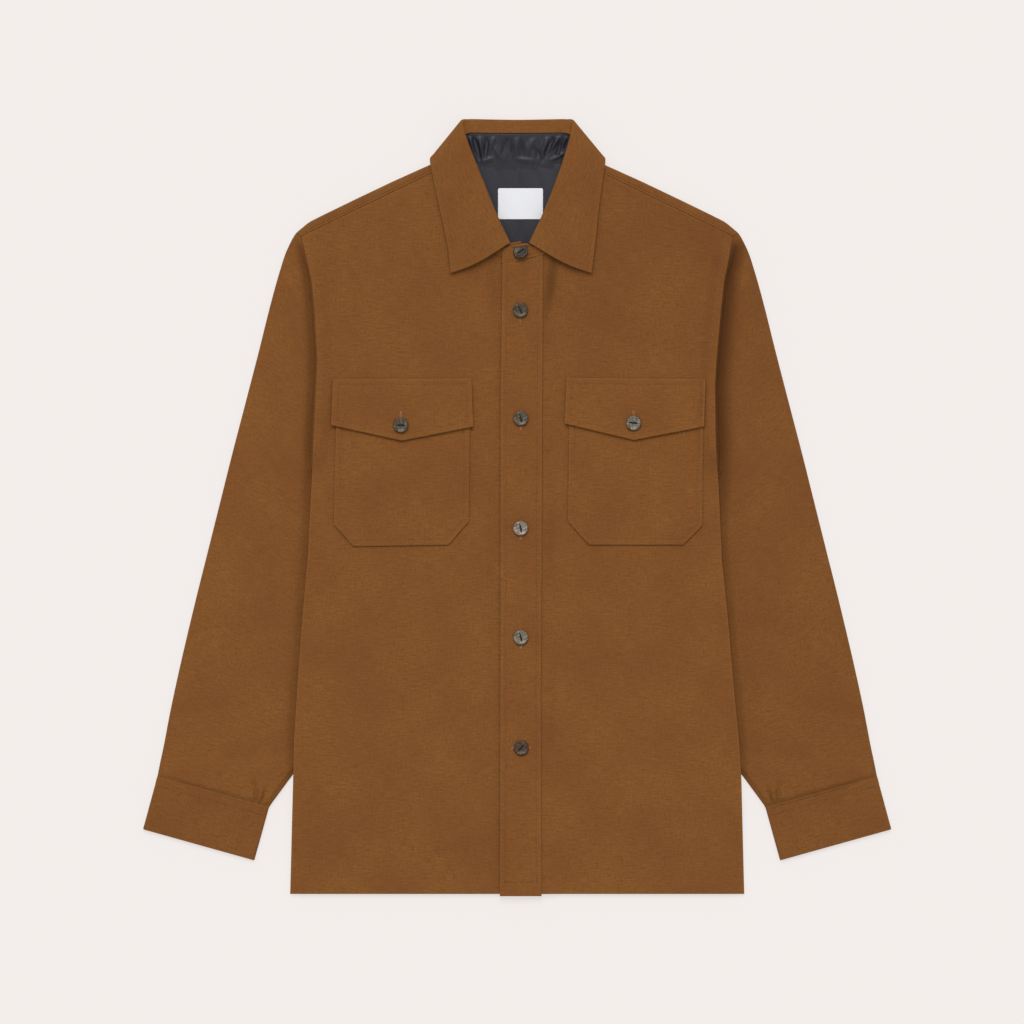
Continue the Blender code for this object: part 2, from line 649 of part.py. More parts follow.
def make_stand_lining(lining):
    """Dark lining on the inside of the stand, where it shows at the back of the neck."""
    across = [k / 8 for k in range(9)]
    rows = []
    for v in (0.0, 0.33, 0.67, 1.0):
        half = mix(LINING_WIDTHS["neck"], LINING_WIDTHS["top"], v)
        row = []
        for u in across:
            x = mix(-half, half, u)
            neck_y = read_row(BACK_NECK, abs(x), 1) + 2 * GAP
            y = mix(neck_y, COLLAR_STATIONS[-1][3][1] - 4 * GAP, v)
            z = mix(STAND_FOOT[-1][2], COLLAR_STATIONS[-1][4], v) + lining_rise()
            row.append(Vector((x, y, z)))
        rows.append(row)
    return sheet("stand_lining", rows, LINING_WALL, lining)


def back_lining_height(x, y):
    return back_height(x, y) + lining_rise()


def make_back_lining(lining):
    """Dark lining inside the back, where it shows through the neck."""
    across = [k / 8 for k in range(9)]
    rows = []
    for v in [k / 7 for k in range(8)]:
        half = mix(LINING_WIDTHS["end"], LINING_WIDTHS["neck"], v)
        row = []
        for u in across:
            x = mix(-half, half, u)
            neck_y = read_row(BACK_NECK, abs(x), 1)
            row.append(Vector((x + collar_lean(mix(LINING_END, neck_y, v)) * (1 - v),
                               mix(LINING_END, neck_y, v))))
        rows.append(row)
    return sheet("back_lining", at_height(rows, back_lining_height), LINING_WALL, lining)


def make_label(material):
    """Blank woven label on the lining."""
    x_from, x_to, y_from, y_to = LABEL
    rise = LINING_WALL / 2 + GAP + LABEL_WALL / 2
    plan = [[Vector((mix(x_from, x_to, u / 3), mix(y_from, y_to, v / 4))) for u in range(4)]
            for v in range(5)]
    rows = at_height(plan, lambda x, y: back_lining_height(x, y) + rise)
    return sheet("neck_label", rows, LABEL_WALL, material)


# ------------------------------------------------------------------ buttons
def lens_outline():
    """Outline of the eye: two arcs that meet in points."""
    length, width, _ = BUTTON_EYE
    points = []
    for k in range(8):
        turn = math.tau * k / 8
        x = math.cos(turn) * length / 2
        y = math.sin(turn) * abs(math.sin(turn)) * width / 2
        points.append((x, y))
    return points


def make_prism(name, outline, bottom, top):
    """A hidden cutter: an outline carried straight up."""
    import bmesh
    work = bmesh.new()
    verts = [work.verts.new((x * MM, y * MM, bottom * MM)) for x, y in outline]
    face = work.faces.new(verts)
    raised = bmesh.ops.extrude_face_region(work, geom=[face])
    moved = [item for item in raised["geom"] if isinstance(item, bmesh.types.BMVert)]
    bmesh.ops.translate(work, verts=moved, vec=(0.0, 0.0, (top - bottom) * MM))
    bmesh.ops.recalc_face_normals(work, faces=work.faces[:])
    mesh = bpy.data.meshes.new(name)
    work.to_mesh(mesh)
    work.free()
    cutter = bpy.data.objects.new(name, mesh)
    CUTTERS.objects.link(cutter)
    cutter.hide_render = True
    cutter.display_type = "WIRE"
    return cutter


def button_mesh(horn):
    """A turned button with a low rim, an eye-shaped hollow and two holes."""
    radius = BUTTON_WIDTH / 2
    tall = BUTTON_TALL
    profile = ((0.0, tall - 0.7), (radius - 2.6, tall - 0.6), (radius - 1.3, tall),
               (radius, tall - 0.9), (radius - 0.2, 0.6), (radius - 1.3, 0.0), (0.0, 0.0))
    mesh = bpy.data.meshes.new("button_profile")
    mesh.from_pydata([(r * MM, 0.0, z * MM) for r, z in profile],
                     [(k, k + 1) for k in range(len(profile) - 1)], [])
    turned = bpy.data.objects.new("button_turned", mesh)
    CUTTERS.objects.link(turned)
    turned.hide_render = True
    screw = turned.modifiers.new("turn", "SCREW")
    screw.steps = 16
    screw.render_steps = 16
    screw.use_merge_vertices = True
    screw.merge_threshold = 0.00001
    length, width, depth = BUTTON_EYE
    eye = make_prism("button_eye", lens_outline(), tall - 0.7 - depth, tall + 1.0)
    wide, apart = BUTTON_HOLE
    cutters = [eye]
    for sign in (-1, 1):
        ring = [(sign * apart + math.cos(math.tau * k / 6) * wide / 2,
                 math.sin(math.tau * k / 6) * wide / 2) for k in range(6)]
        cutters.append(make_prism("button_hole", ring, -1.0, tall + 1.0))
    for cutter in cutters:
        cut = turned.modifiers.new("cut", "BOOLEAN")
        cut.operation = "DIFFERENCE"
        cut.object = cutter
    bpy.context.view_layer.update()
    evaluated = turned.evaluated_get(bpy.context.evaluated_depsgraph_get())
    result = bpy.data.meshes.new_from_object(evaluated)
    result.name = "button"
    result.materials.clear()
    result.materials.append(horn)
    result.shade_smooth()
    result.set_sharp_from_angle(angle=math.radians(40))
    return result


def stand_height(x, y):
    """Middle of the stand's left end, which carries the top button."""
    foot, top = STAND_TAB[0][1], STAND_TAB[0][3]
    return mix(*TAB_Z["left"], (y - foot) / (top - foot))


def make_buttons(horn):
    """Every button lies level, just clear of the highest cloth under it."""
    mesh = button_mesh(horn)
    for name, x, y, turn, carrier in BUTTONS:
        carried = {
            "stand": stand_height,
            "placket": placket_height,
            "flap": lambda px, py: flap_height("left" if px > 0 else "right", px, py),
        }[carrier]
        around = [carried(x + math.cos(a) * BUTTON_WIDTH / 2, y + math.sin(a) * BUTTON_WIDTH / 2)
                  for a in [math.tau * k / 12 for k in range(12)]]
        button = bpy.data.objects.new(name, mesh)
        button.location = (x * MM, y * MM, (max(around) + CLOTH / 2 + GAP) * MM)
        button.rotation_euler = (0.0, 0.0, math.radians(turn))
        GARMENT.objects.link(button)


for old in list(bpy.data.objects):
    bpy.data.objects.remove(old, do_unlink=True)
GARMENT = new_collection("overshirt")
CUTTERS = new_collection("cutters")
CLOTH_MATERIAL = make_material("cloth")
LINING_MATERIAL = make_material("lining")

make_back(CLOTH_MATERIAL)
for wearer_side in ("right", "left"):
    sheet("front_" + wearer_side, front_rows(wearer_side), CLOTH, CLOTH_MATERIAL)
    make_sleeve(wearer_side, CLOTH_MATERIAL)
    make_cuff(wearer_side, CLOTH_MATERIAL)
    make_pocket(wearer_side, CLOTH_MATERIAL)
    make_flap(wearer_side, CLOTH_MATERIAL)
make_placket(CLOTH_MATERIAL)
make_stand(CLOTH_MATERIAL)
make_fall(CLOTH_MATERIAL)
make_stand_lining(LINING_MATERIAL)
make_back_lining(LINING_MATERIAL)
make_label(make_material("label"))
make_buttons(make_material("horn"))
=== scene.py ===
"""A brushed-cotton overshirt laid flat, front up, piece by piece as it is sewn together.

+X is the wearer's left, +Y runs from the hem to the collar and +Z is up. Sizes are in
millimetres, and go to metres where a mesh is made.
"""
import math

import bpy
import numpy as np
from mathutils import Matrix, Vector


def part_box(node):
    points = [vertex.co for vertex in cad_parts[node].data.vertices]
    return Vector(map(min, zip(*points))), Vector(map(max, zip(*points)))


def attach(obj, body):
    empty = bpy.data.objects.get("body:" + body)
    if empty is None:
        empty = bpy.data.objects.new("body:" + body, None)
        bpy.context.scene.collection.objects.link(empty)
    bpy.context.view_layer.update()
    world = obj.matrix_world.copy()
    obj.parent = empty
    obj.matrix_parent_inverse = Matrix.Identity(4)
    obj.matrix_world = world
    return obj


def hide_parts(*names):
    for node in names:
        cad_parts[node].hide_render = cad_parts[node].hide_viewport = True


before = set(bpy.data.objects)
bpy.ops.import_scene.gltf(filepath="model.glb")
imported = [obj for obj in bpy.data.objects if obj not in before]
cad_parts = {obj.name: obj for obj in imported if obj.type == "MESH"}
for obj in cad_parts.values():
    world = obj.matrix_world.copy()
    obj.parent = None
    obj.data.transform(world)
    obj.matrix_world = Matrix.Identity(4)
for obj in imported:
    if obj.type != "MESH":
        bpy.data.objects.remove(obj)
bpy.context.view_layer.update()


# ---------------------------------------------------------------- the cloth
# Brushed cotton: a twill of slubby carded yarn, raised with wire rollers on its face, so that
# short fibres stand up and nearly hide the weave. It scatters light evenly and looks flat and
# soft. Its folded edges are painted a little paler: partly worn, fanned-out nap, and partly a
# painted highlight where the rounded edges catch the light.
MM = 0.001


def linear_rgb(code):
    """Turn an sRGB hex value into the linear colour that shaders take."""
    parts = [int(code[k:k + 2], 16) / 255.0 for k in (1, 3, 5)]
    return [c / 12.92 if c <= 0.04045 else ((c + 0.055) / 1.055) ** 2.4 for c in parts] + [1.0]


def add_node(tree, kind, settings=None, links=None):
    """Add a shader node, with its settings or input values by name, and its inputs' links."""
    node = tree.nodes.new(kind)
    for name, value in (settings or {}).items():
        if isinstance(name, str) and hasattr(node, name):
            setattr(node, name, value)
        else:
            node.inputs[name].default_value = value
    for name, output in (links or {}).items():
        tree.links.new(output, node.inputs[name])
    return node


def new_material(name, specular=0.5, **values):
    """Start a material, and set its Principled shader's sockets."""
    material = bpy.data.materials.new(name)
    material.use_nodes = True
    shader = material.node_tree.nodes["Principled BSDF"]
    shader.inputs["Specular IOR Level"].default_value = specular
    for socket, value in values.items():
        shader.inputs[socket.replace("_", " ").title()].default_value = value
    return material, material.node_tree, shader


def blend(tree, factor, first, second):
    """Mix two colours, each a hex value or another node's output."""
    mixed = add_node(tree, "ShaderNodeMixRGB", links={"Fac": factor})
    for socket, colour in (("Color1", first), ("Color2", second)):
        if isinstance(colour, str):
            mixed.inputs[socket].default_value = linear_rgb(colour)
        else:
            tree.links.new(colour, mixed.inputs[socket])
    return mixed.outputs["Color"]


def grain(tree, place, scale, **settings):
    """Noise stretched by a scale of its own in each direction."""
    mapped = add_node(tree, "ShaderNodeMapping", {"Scale": scale}, {"Vector": place})
    return add_node(tree, "ShaderNodeTexNoise", {"Scale": 1.0, **settings},
                    {"Vector": mapped.outputs["Vector"]}).outputs["Fac"]


def darkened(tree, colour, dark, share):
    """Take a colour to a darker one by the painted shade attribute: painted shade in stitch
    grooves, creases and shaded places.
    """
    painted_shade = add_node(tree, "ShaderNodeAttribute", {"attribute_name": "painted_shade"})
    flat = add_node(tree, "ShaderNodeMath", {"operation": "MULTIPLY", 1: share},
                    {0: painted_shade.outputs["Fac"]})
    return blend(tree, flat.outputs[0], colour, dark)


def dress(tree, shader, colour, height, strength, distance):
    """Give a shader its colour, and a bump of a height whose distance is in millimetres."""
    bump = add_node(tree, "ShaderNodeBump", {"Strength": strength, "Distance": distance * MM},
                    {"Height": height})
    tree.links.new(colour, shader.inputs["Base Color"])
    tree.links.new(bump.outputs["Normal"], shader.inputs["Normal"])


def brushed_cotton():
    """The cloth's material, laid out by the "cut" map, which is in millimetres on the grain."""
    material, tree, shader = new_material(
        "brushed_cotton_twill", specular=0.12, roughness=0.92, sheen_weight=0.16,
        sheen_roughness=0.5, sheen_tint=linear_rgb("#c98f55"))
    place = add_node(tree, "ShaderNodeUVMap", {"uv_map": "cut"}).outputs["UV"]
    # Slubs: thick and thin places in the yarn, 12 mm long and about two yarns wide. The weft's
    # show more, because the warp is finer and the nap is raised along it.
    weft = grain(tree, place, (1 / 12.0, 1 / 0.9, 1.0), Detail=2.5)
    warp = grain(tree, place, (1 / 0.9, 1 / 14.0, 1.0), Detail=2.0)
    # Nap: tufts of raised fibre, 2.4 mm across and finer
    nap = add_node(tree, "ShaderNodeTexNoise",
                   {"Scale": 1 / 2.4, "Detail": 4.0, "Roughness": 0.62}, {"Vector": place})
    # Where the dye took unevenly, and the nap was brushed one way or the other: 60 mm patches
    mottle = add_node(tree, "ShaderNodeTexNoise", {"Scale": 1 / 60.0, "Detail": 3.5},
                      {"Vector": place})
    # The twill's own ribs are 0.6 mm apart, drawn here at 1.6 mm to show at all
    twill = add_node(tree, "ShaderNodeTexWave", {"bands_direction": "DIAGONAL", "Scale": 0.2,
                                                 "Distortion": 1.5, "Detail": 1.0},
                     {"Vector": place})
    crossed = add_node(tree, "ShaderNodeMath", {"operation": "MULTIPLY_ADD", 1: 0.45},
                       {0: warp, 2: weft})
    yarn = add_node(tree, "ShaderNodeMath", {"operation": "ADD"},
                    {0: crossed.outputs[0], 1: nap.outputs["Fac"]})
    tone = add_node(tree, "ShaderNodeMapRange",
                    {"From Min": 0.86, "From Max": 1.6, "To Min": 0.0, "To Max": 1.0},
                    {"Value": yarn.outputs[0]})
    colour = blend(tree, tone.outputs["Result"], "#6e4521", "#8e5d2e")
    patch = add_node(tree, "ShaderNodeMapRange", {"From Min": 0.35, "From Max": 0.65,
                                                  "To Min": 0.0, "To Max": 0.42},
                     {"Value": mottle.outputs["Fac"]})
    colour = blend(tree, patch.outputs["Result"], colour, "#724323")
    # Painted paler towards every edge: partly worn nap, partly a painted highlight on the rounded
    # edges
    edge = add_node(tree, "ShaderNodeAttribute", {"attribute_name": "edge"})
    edge_wear_and_highlight = add_node(tree, "ShaderNodeMapRange", {"From Min": 0.2, "From Max": 2.2,
                                                 "To Min": 0.14, "To Max": 0.0},
                    {"Value": edge.outputs["Fac"]})
    colour = blend(tree, edge_wear_and_highlight.outputs["Result"], colour, "#a3733f")
    # Painted shade: stitch grooves, crease troughs and the shaded pieces are painted darker, as
    # shade would fall there
    colour = darkened(tree, colour, "#4d2c12", 0.3)
    face = add_node(tree, "ShaderNodeMath", {"operation": "MULTIPLY_ADD", 1: 0.35},
                    {0: twill.outputs["Fac"], 2: yarn.outputs[0]})
    dress(tree, shader, colour, face.outputs[0], 0.55, 0.35)
    return material


COTTON = brushed_cotton()


# ---------------------------------------------------------------- the back
# One piece of the cotton, which comes over the shoulders to a seam in front of them. It lies
# on the table, face down, lifted where the sleeves and the collar lie under it.
CLOTH = 1.5                # wall of the cotton with its facing
GAP = 0.3                  # between pieces that lie on each other
SEWN = 0.08                # between pieces on both sides of a seam
AIR = 1.6                  # between the back and the fronts
HEM = -386.6
UNDERARM = 32.0
SHOULDER_END = 270.3
# The body's side edge: height, reach on the wearer's right, reach on the left
BODY_EDGE = (
    (HEM, 227.0, 227.0),
    (-266.0, 223.7, 223.8),
    (-233.0, 223.1, 221.7),
    (-183.0, 220.0, 216.8),
    (-113.0, 215.0, 210.8),
    (-53.0, 209.5, 204.6),
    (20.0, 205.7, 201.4),
    (64.0, 203.5, 198.2),
    (121.0, 200.9, 197.5),
    (147.0, 199.8, 199.1),
    (194.0, 202.4, 203.3),
    (226.0, 205.5, 206.7),
    (247.0, 210.0, 211.2),
    (SHOULDER_END, 215.7, 215.2),
)
# The sleeve lifts the body that lies on it. The lift starts and is whole at these distances in
# from the side edge, and at these heights
SLEEVE_PILE = 4.2
LIFT_INSIDE = (145.0, 65.0)
LIFT_ABOVE_HEM = (-377.0, -272.0)
LIFT_UNDER_ARM = (137.0, 37.0)
# The collar lifts the back in the same way
NECK_PILE = 2.4
LIFT_TO_NECK = (220.0, 327.0)
BACK_NECK = ((0.0, 337.0), (18.0, 337.4), (36.0, 338.8), (52.0, 341.0), (63.0, 344.4))
# The shoulder's fold, from the neck outwards, and the seam in front of it: x, y
SHOULDER_FOLD = ((70.0, 349.5), (88.2, 341.8), (125.0, 325.2), (159.0, 309.0),
                 (192.0, 293.0), (208.0, 285.0), (220.0, 275.0))
SHOULDER_SEAM = ((69.5, 341.5), (88.2, 332.5), (104.0, 324.9), (120.0, 317.2),
                 (135.0, 309.9), (150.0, 302.7), (165.0, 295.5), (180.0, 288.2),
                 (192.0, 282.4), (202.0, 277.6), (209.0, 274.2), (215.4, 270.4))
SHOULDER_STITCH = 2.6
SHOULDER_STRIP = 8.0       # from the shoulder's fold to the seam
NECK_SIDE = 64.0           # where the neck ends and the shoulder's fold starts
SHOULDER_INSET = 9.0       # the back's side edge above the underarm, inside the front's


def ease(t):
    """Go smoothly from 0 to 1 as t does."""
    t = np.clip(t, 0.0, 1.0)
    return t * t * (3.0 - 2.0 * t)


def ramp(at, start, end):
    """Go smoothly from 0 to 1 as at goes from start to end."""
    return ease((at - start) / (end - start))


def mix(a, b, t):
    return a + (b - a) * t


def read(table, at, column=1):
    """Read a table's column between its rows, by its first column, with the corners rounded."""
    rows = np.array(table, float)
    return sum(share * np.interp(np.asarray(at, float) + shift, rows[:, 0], rows[:, column])
               for shift, share in ((-4.0, 0.25), (0.0, 0.5), (4.0, 0.25)))


def body_edge(side, y):
    """Reach of the body's side edge from the middle."""
    return read(BODY_EDGE, y, 2 if side > 0 else 1)


def folds(table, x, y):
    """Soft long ridges and troughs of the cloth, which fade out at their ends."""
    total = np.zeros_like(x)
    for at_x, at_y, length, width, angle, height in table:
        turn = math.radians(angle)
        along = (x - at_x) * math.cos(turn) + (y - at_y) * math.sin(turn)
        across = (y - at_y) * math.cos(turn) - (x - at_x) * math.sin(turn)
        total = total + height * ease(1.0 - np.hypot(along / length, across / width))
    return total


def back_lie(x, y):
    """Height of the back's middle."""
    low = np.minimum(y, UNDERARM)
    reach = np.where(x > 0, body_edge(1, low), body_edge(-1, low))
    on_sleeve = (ramp(reach - np.abs(x), *LIFT_INSIDE) * ramp(y, *LIFT_UNDER_ARM)
                 * ramp(y, *LIFT_ABOVE_HEM))
    return CLOTH / 2 + SLEEVE_PILE * on_sleeve + NECK_PILE * ramp(y, *LIFT_TO_NECK)


def spaced(length, step, first=(), last=()):
    """Places from 0 to length, close together at both ends and at rows of stitches near them."""
    rounding = (0.0, 0.1, 0.32, 0.75, 1.6)
    beside = (-1.5, -0.8, -0.35, 0.0, 0.35, 0.8, 1.5)
    near = sorted({*rounding, *(at + more for at in first for more in beside)})
    far = sorted({*rounding, *(at + more for at in last for more in beside)})
    count = max(2, round((length - near[-1] - far[-1]) / step))
    between = np.linspace(near[-1], length - far[-1], count + 1)
    return np.concatenate([near[:-1], between, length - np.array(far[-2::-1])])


def fill_between(bottom, top, first, last, across, up):
    """Fill the plan area between four edges with rows of points (a Coons patch)."""
    u, v = np.asarray(across)[None, :, None], np.asarray(up)[:, None, None]
    bottom, top = np.asarray(bottom)[None], np.asarray(top)[None]
    first, last = np.asarray(first)[:, None], np.asarray(last)[:, None]
    return (mix(bottom, top, v) + mix(first, last, u)
            - mix(mix(bottom[:, :1], bottom[:, -1:], u), mix(top[:, :1], top[:, -1:], u), v))


def distances(line):
    """Distance along a line of points, at each of them."""
    return np.concatenate([[0.0], np.cumsum(np.linalg.norm(np.diff(line, axis=0), axis=1))])


def unit(vectors):
    return vectors / np.linalg.norm(vectors, axis=-1, keepdims=True)


def raised(plan, height):
    """Give points of a plan their height, by a function of x and y."""
    return np.dstack([plan, height(plan[..., 0], plan[..., 1])])


def from_border(points, border, loop):
    """Distance of each point of a grid from its nearest border, walked along the grid."""
    walk = np.where(border, 0.0, 1e3)
    up = np.linalg.norm(np.diff(points, axis=0), axis=2)
    across = np.linalg.norm(np.roll(points, -1, 1) - points, axis=2)
    columns = points.shape[1]
    for _ in range(2):
        for i in range(1, len(points)):
            walk[i] = np.minimum(walk[i], walk[i - 1] + up[i - 1])
        for i in range(len(points) - 2, -1, -1):
            walk[i] = np.minimum(walk[i], walk[i + 1] + up[i])
        for j in range(0 if loop else 1, columns):
            walk[:, j] = np.minimum(walk[:, j], walk[:, j - 1] + across[:, j - 1])
        for j in range(columns - (1 if loop else 2), -1, -1):
            k = (j + 1) % columns
            walk[:, j] = np.minimum(walk[:, j], walk[:, k] + across[:, j])
    return walk


def new_mesh(name, places, faces, material=None):
    """Make a smooth mesh of points in millimetres."""
    mesh = bpy.data.meshes.new(name)
    mesh.from_pydata((np.asarray(places, float) * MM).tolist(), [], faces)
    mesh.shade_smooth()
    if material:
        mesh.materials.append(material)
    return mesh


def put(name, mesh):
    """Put an object with this mesh or other data in the scene."""
    obj = bpy.data.objects.new(name, mesh)
    bpy.context.scene.collection.objects.link(obj)
    return obj


def shell(name, middle, wall, material, cut, relief=None, loop=False, missing=None, out=1.0,
          face=1.0, extra_painted_shade=0.0):
    """Wrap a grid of points on a cloth's middle in a closed wall with round edges.

    cut is each point's place on the flat cloth. relief, a function of the distance from the
    edge, says how far the face stands up there: the side that the normals point to, or the
    other one. missing marks the grid's faces to leave out, and extra_painted_shade says how
    much painted shade is added at each point, beside the painted shade of grooves and valleys.
    """
    rows, columns = middle.shape[:2]
    ring = columns if loop else columns - 1
    there = np.ones((rows - 1, ring), bool) if missing is None else ~missing
    around = np.zeros((rows, columns), int)
    for i in (0, 1):
        for j in (0, 1):
            around[i:rows - 1 + i, (np.arange(ring) + j) % columns] += there
    border = (around > 0) & (around < 4)
    edge = from_border(middle, border, loop)
    up = np.gradient(middle, axis=0)
    across = np.roll(middle, -1, 1) - np.roll(middle, 1, 1)
    if not loop:
        across = np.gradient(middle, axis=1)
    normal = np.cross(across, up) * out
    normal /= np.maximum(np.linalg.norm(normal, axis=2, keepdims=True), 1e-9)
    inside = np.clip(edge / (wall / 2), 0.0, 1.0)
    half = wall / 2 * np.sqrt(1.0 - (1.0 - inside) ** 2)
    stands = relief(edge) * inside if relief else np.zeros_like(half)
    top = middle + normal * (half + stands * (face > 0))[..., None]
    bottom = middle - normal * (half + stands * (face < 0))[..., None]
    numbers = np.arange(rows * columns).reshape(rows, columns)
    below = np.where(border, numbers, numbers + rows * columns)
    i, j = np.nonzero(there)
    k = (j + 1) % columns
    faces = np.concatenate([
        np.stack([numbers[i, j], numbers[i, k], numbers[i + 1, k], numbers[i + 1, j]], 1),
        np.stack([below[i, j], below[i + 1, j], below[i + 1, k], below[i, k]], 1)])
    if out < 0:
        faces = faces[:, ::-1]
    used, faces = np.unique(faces, return_inverse=True)
    faces = faces.reshape(-1, 4)
    places = np.concatenate([top.reshape(-1, 3), bottom.reshape(-1, 3)])[used]
    mesh = new_mesh(name, places, faces.tolist(), material)
    spots = np.concatenate([
        np.stack([cut[i, j], cut[i, j + 1], cut[i + 1, j + 1], cut[i + 1, j]], 1),
        np.stack([cut[i, j], cut[i + 1, j], cut[i + 1, j + 1], cut[i, j + 1]], 1)])
    if out < 0:
        spots = spots[:, ::-1]
    mesh.uv_layers.new(name="cut").data.foreach_set("uv", spots.astype(np.float32).ravel())
    edges = np.concatenate([edge.ravel(), edge.ravel()])[used]
    mesh.attributes.new("edge", "FLOAT", "POINT").data.foreach_set(
        "value", np.minimum(edges, 50.0).astype(np.float32))
    # Painted shade: the relief's grooves and valleys, and the extra painted shade, darken the
    # colour
    painted_shade = (np.clip(-stands / 0.5, 0.0, 1.0) + extra_painted_shade).ravel()
    painted_shade = np.concatenate([painted_shade * (face > 0), painted_shade * (face < 0)])[used]
    mesh.attributes.new("painted_shade", "FLOAT", "POINT").data.foreach_set(
        "value", painted_shade.astype(np.float32))
    return put(name, mesh)


def stand_for(obj, node):
    """Show a cloth piece in place of its plain solid."""
    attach(obj, "root")
    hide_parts(node)


def make_back():
    half = [*BACK_NECK, *SHOULDER_FOLD]
    line = np.array([(-x, y) for x, y in reversed(half)] + half[1:])
    reach = SHOULDER_FOLD[-1][0]
    x = spaced(2 * reach, 4.0) - reach
    beside_neck = np.array([0.4, 2.5]) + NECK_SIDE
    x = np.sort(np.concatenate([x, -beside_neck, beside_neck]))
    top = np.stack([x, np.interp(x, line[:, 0], line[:, 1])], 1)
    across = (x + reach) / (2 * reach)
    wide = float(body_edge(1, HEM))
    bottom = np.stack([mix(-wide, wide, across), np.full_like(x, HEM)], 1)
    tall = SHOULDER_END - HEM
    up = spaced(tall, 4.5, first=(HEM_STITCH,)) / tall
    y = HEM + tall * up
    sides = []
    for side in (-1, 1):
        inset = SHOULDER_INSET * ramp(y - UNDERARM, -10.0, 10.0)
        edge = np.stack([side * (body_edge(side, y) - inset), y], 1)
        edge[-1] = side * SHOULDER_FOLD[-1][0], SHOULDER_FOLD[-1][1]
        sides.append(edge)
    plan = fill_between(bottom, top, sides[0], sides[1], across, up)
    rows = raised(plan, back_lie)
    # Over the shoulder: round the fold, then down to the seam in front of it
    radius = (CLOTH + AIR) / 2
    last = rows[-1].copy()
    tangent = np.gradient(last[:, :2], axis=0)
    outward = unit(np.stack([-tangent[:, 1], tangent[:, 0], np.zeros(len(x))], 1))
    base = last - outward * (radius + CLOTH / 2)
    over_neck = np.abs(x) < NECK_SIDE
    rows[-1] = np.where(over_neck[:, None], last, base)
    turned = []
    round_fold = np.linspace(-80.0, 80.0, 11)
    for angle in round_fold:
        turn = math.radians(angle)
        turned.append(base + outward * radius * math.cos(turn)
                      + np.array([0.0, 0.0, radius * (1.0 + math.sin(turn))]))
    seam = np.array(SHOULDER_SEAM)
    seam_x = np.minimum(np.abs(x), seam[-1, 0])
    seam_y = np.interp(seam_x, seam[:, 0], seam[:, 1]) + SEWN
    end = np.stack([np.sign(x) * seam_x, seam_y,
                    front_lie(-1, np.sign(x) * seam_x, seam_y)], 1)
    start = turned[-1]
    down = np.linalg.norm(end - start, axis=1, keepdims=True)
    places = spaced(SHOULDER_STRIP, 1.2, last=(SHOULDER_STITCH,))
    for share in places[places > 0.4] / SHOULDER_STRIP:
        turned.append(mix(start, end, share))
    middle = np.concatenate([rows, np.array(turned)])
    strip = np.arange(len(middle))[:, None] >= len(rows) + len(round_fold)
    missing = np.zeros((len(middle) - 1, len(x) - 1), bool)
    missing[len(rows) - 1:] = np.minimum(np.abs(x[1:]), np.abs(x[:-1])) < NECK_SIDE
    cut = middle[..., :2].copy()
    cut[len(rows):, :, 1] += 2 * (rows[-1, :, 1] - middle[len(rows):, :, 1])

    def relief(edge):
        return stitched(edge, middle[..., 0], SHOULDER_STITCH, fold=0.15, deep=0.3) * strip

    obj = shell("back_panel", middle, CLOTH, COTTON, cut, relief, missing=missing, face=-1.0)
    row = mix(end, start, SHOULDER_STITCH / down) + np.array([0.0, 0.0, CLOTH / 2])
    beyond_collar = np.abs(x) > 70.0
    sew("stitching_shoulders", [row[beyond_collar & (x < 0)], row[beyond_collar & (x > 0)]])
    return obj


# ---------------------------------------------------------------- the fronts
# Two panels of the cotton on the back, sewn to it at the side seams and in front of the
# shoulders. The hem is turned up twice and stitched, and a row of topstitching runs beside
# the armhole.
HEM_STITCH = 13.0
HEM_STITCH_START = {"left": 27.0, "right": -21.0}
ARMHOLE_STITCH = 7.0
ARMHOLE_TUCK = 8.0
ARMHOLE_RISE = {"left": 6.4, "right": 3.6}
EDGE_ROLL = 14.0
STEP_UP = CLOTH + GAP
OVERLAP_RAMP = (47.0, 25.0)
COLLAR_LEAN = 4.0
LEFT_NECKLINE = ((-18.4, 241.8), (0.0, 246.0), (19.0, 254.4), (42.0, 281.0),
                 (55.0, 308.0), (63.0, 327.0))
RIGHT_NECKLINE = ((-20.0, 246.0), (0.0, 246.0), (19.0, 254.4), (42.0, 281.0),
                  (55.0, 308.0), (63.0, 327.0))
FRONT_EDGE = {"left": (-17.2, -15.1), "right": (22.0, 20.0)}
# Painted shade: the share by which the left front's top, the left sleeve and the cuffs are painted
# darker, for the shade their nap shows under this light
PAINTED_NAP_SHADE = 0.28            # how much darker a piece looks with its nap brushed towards the light
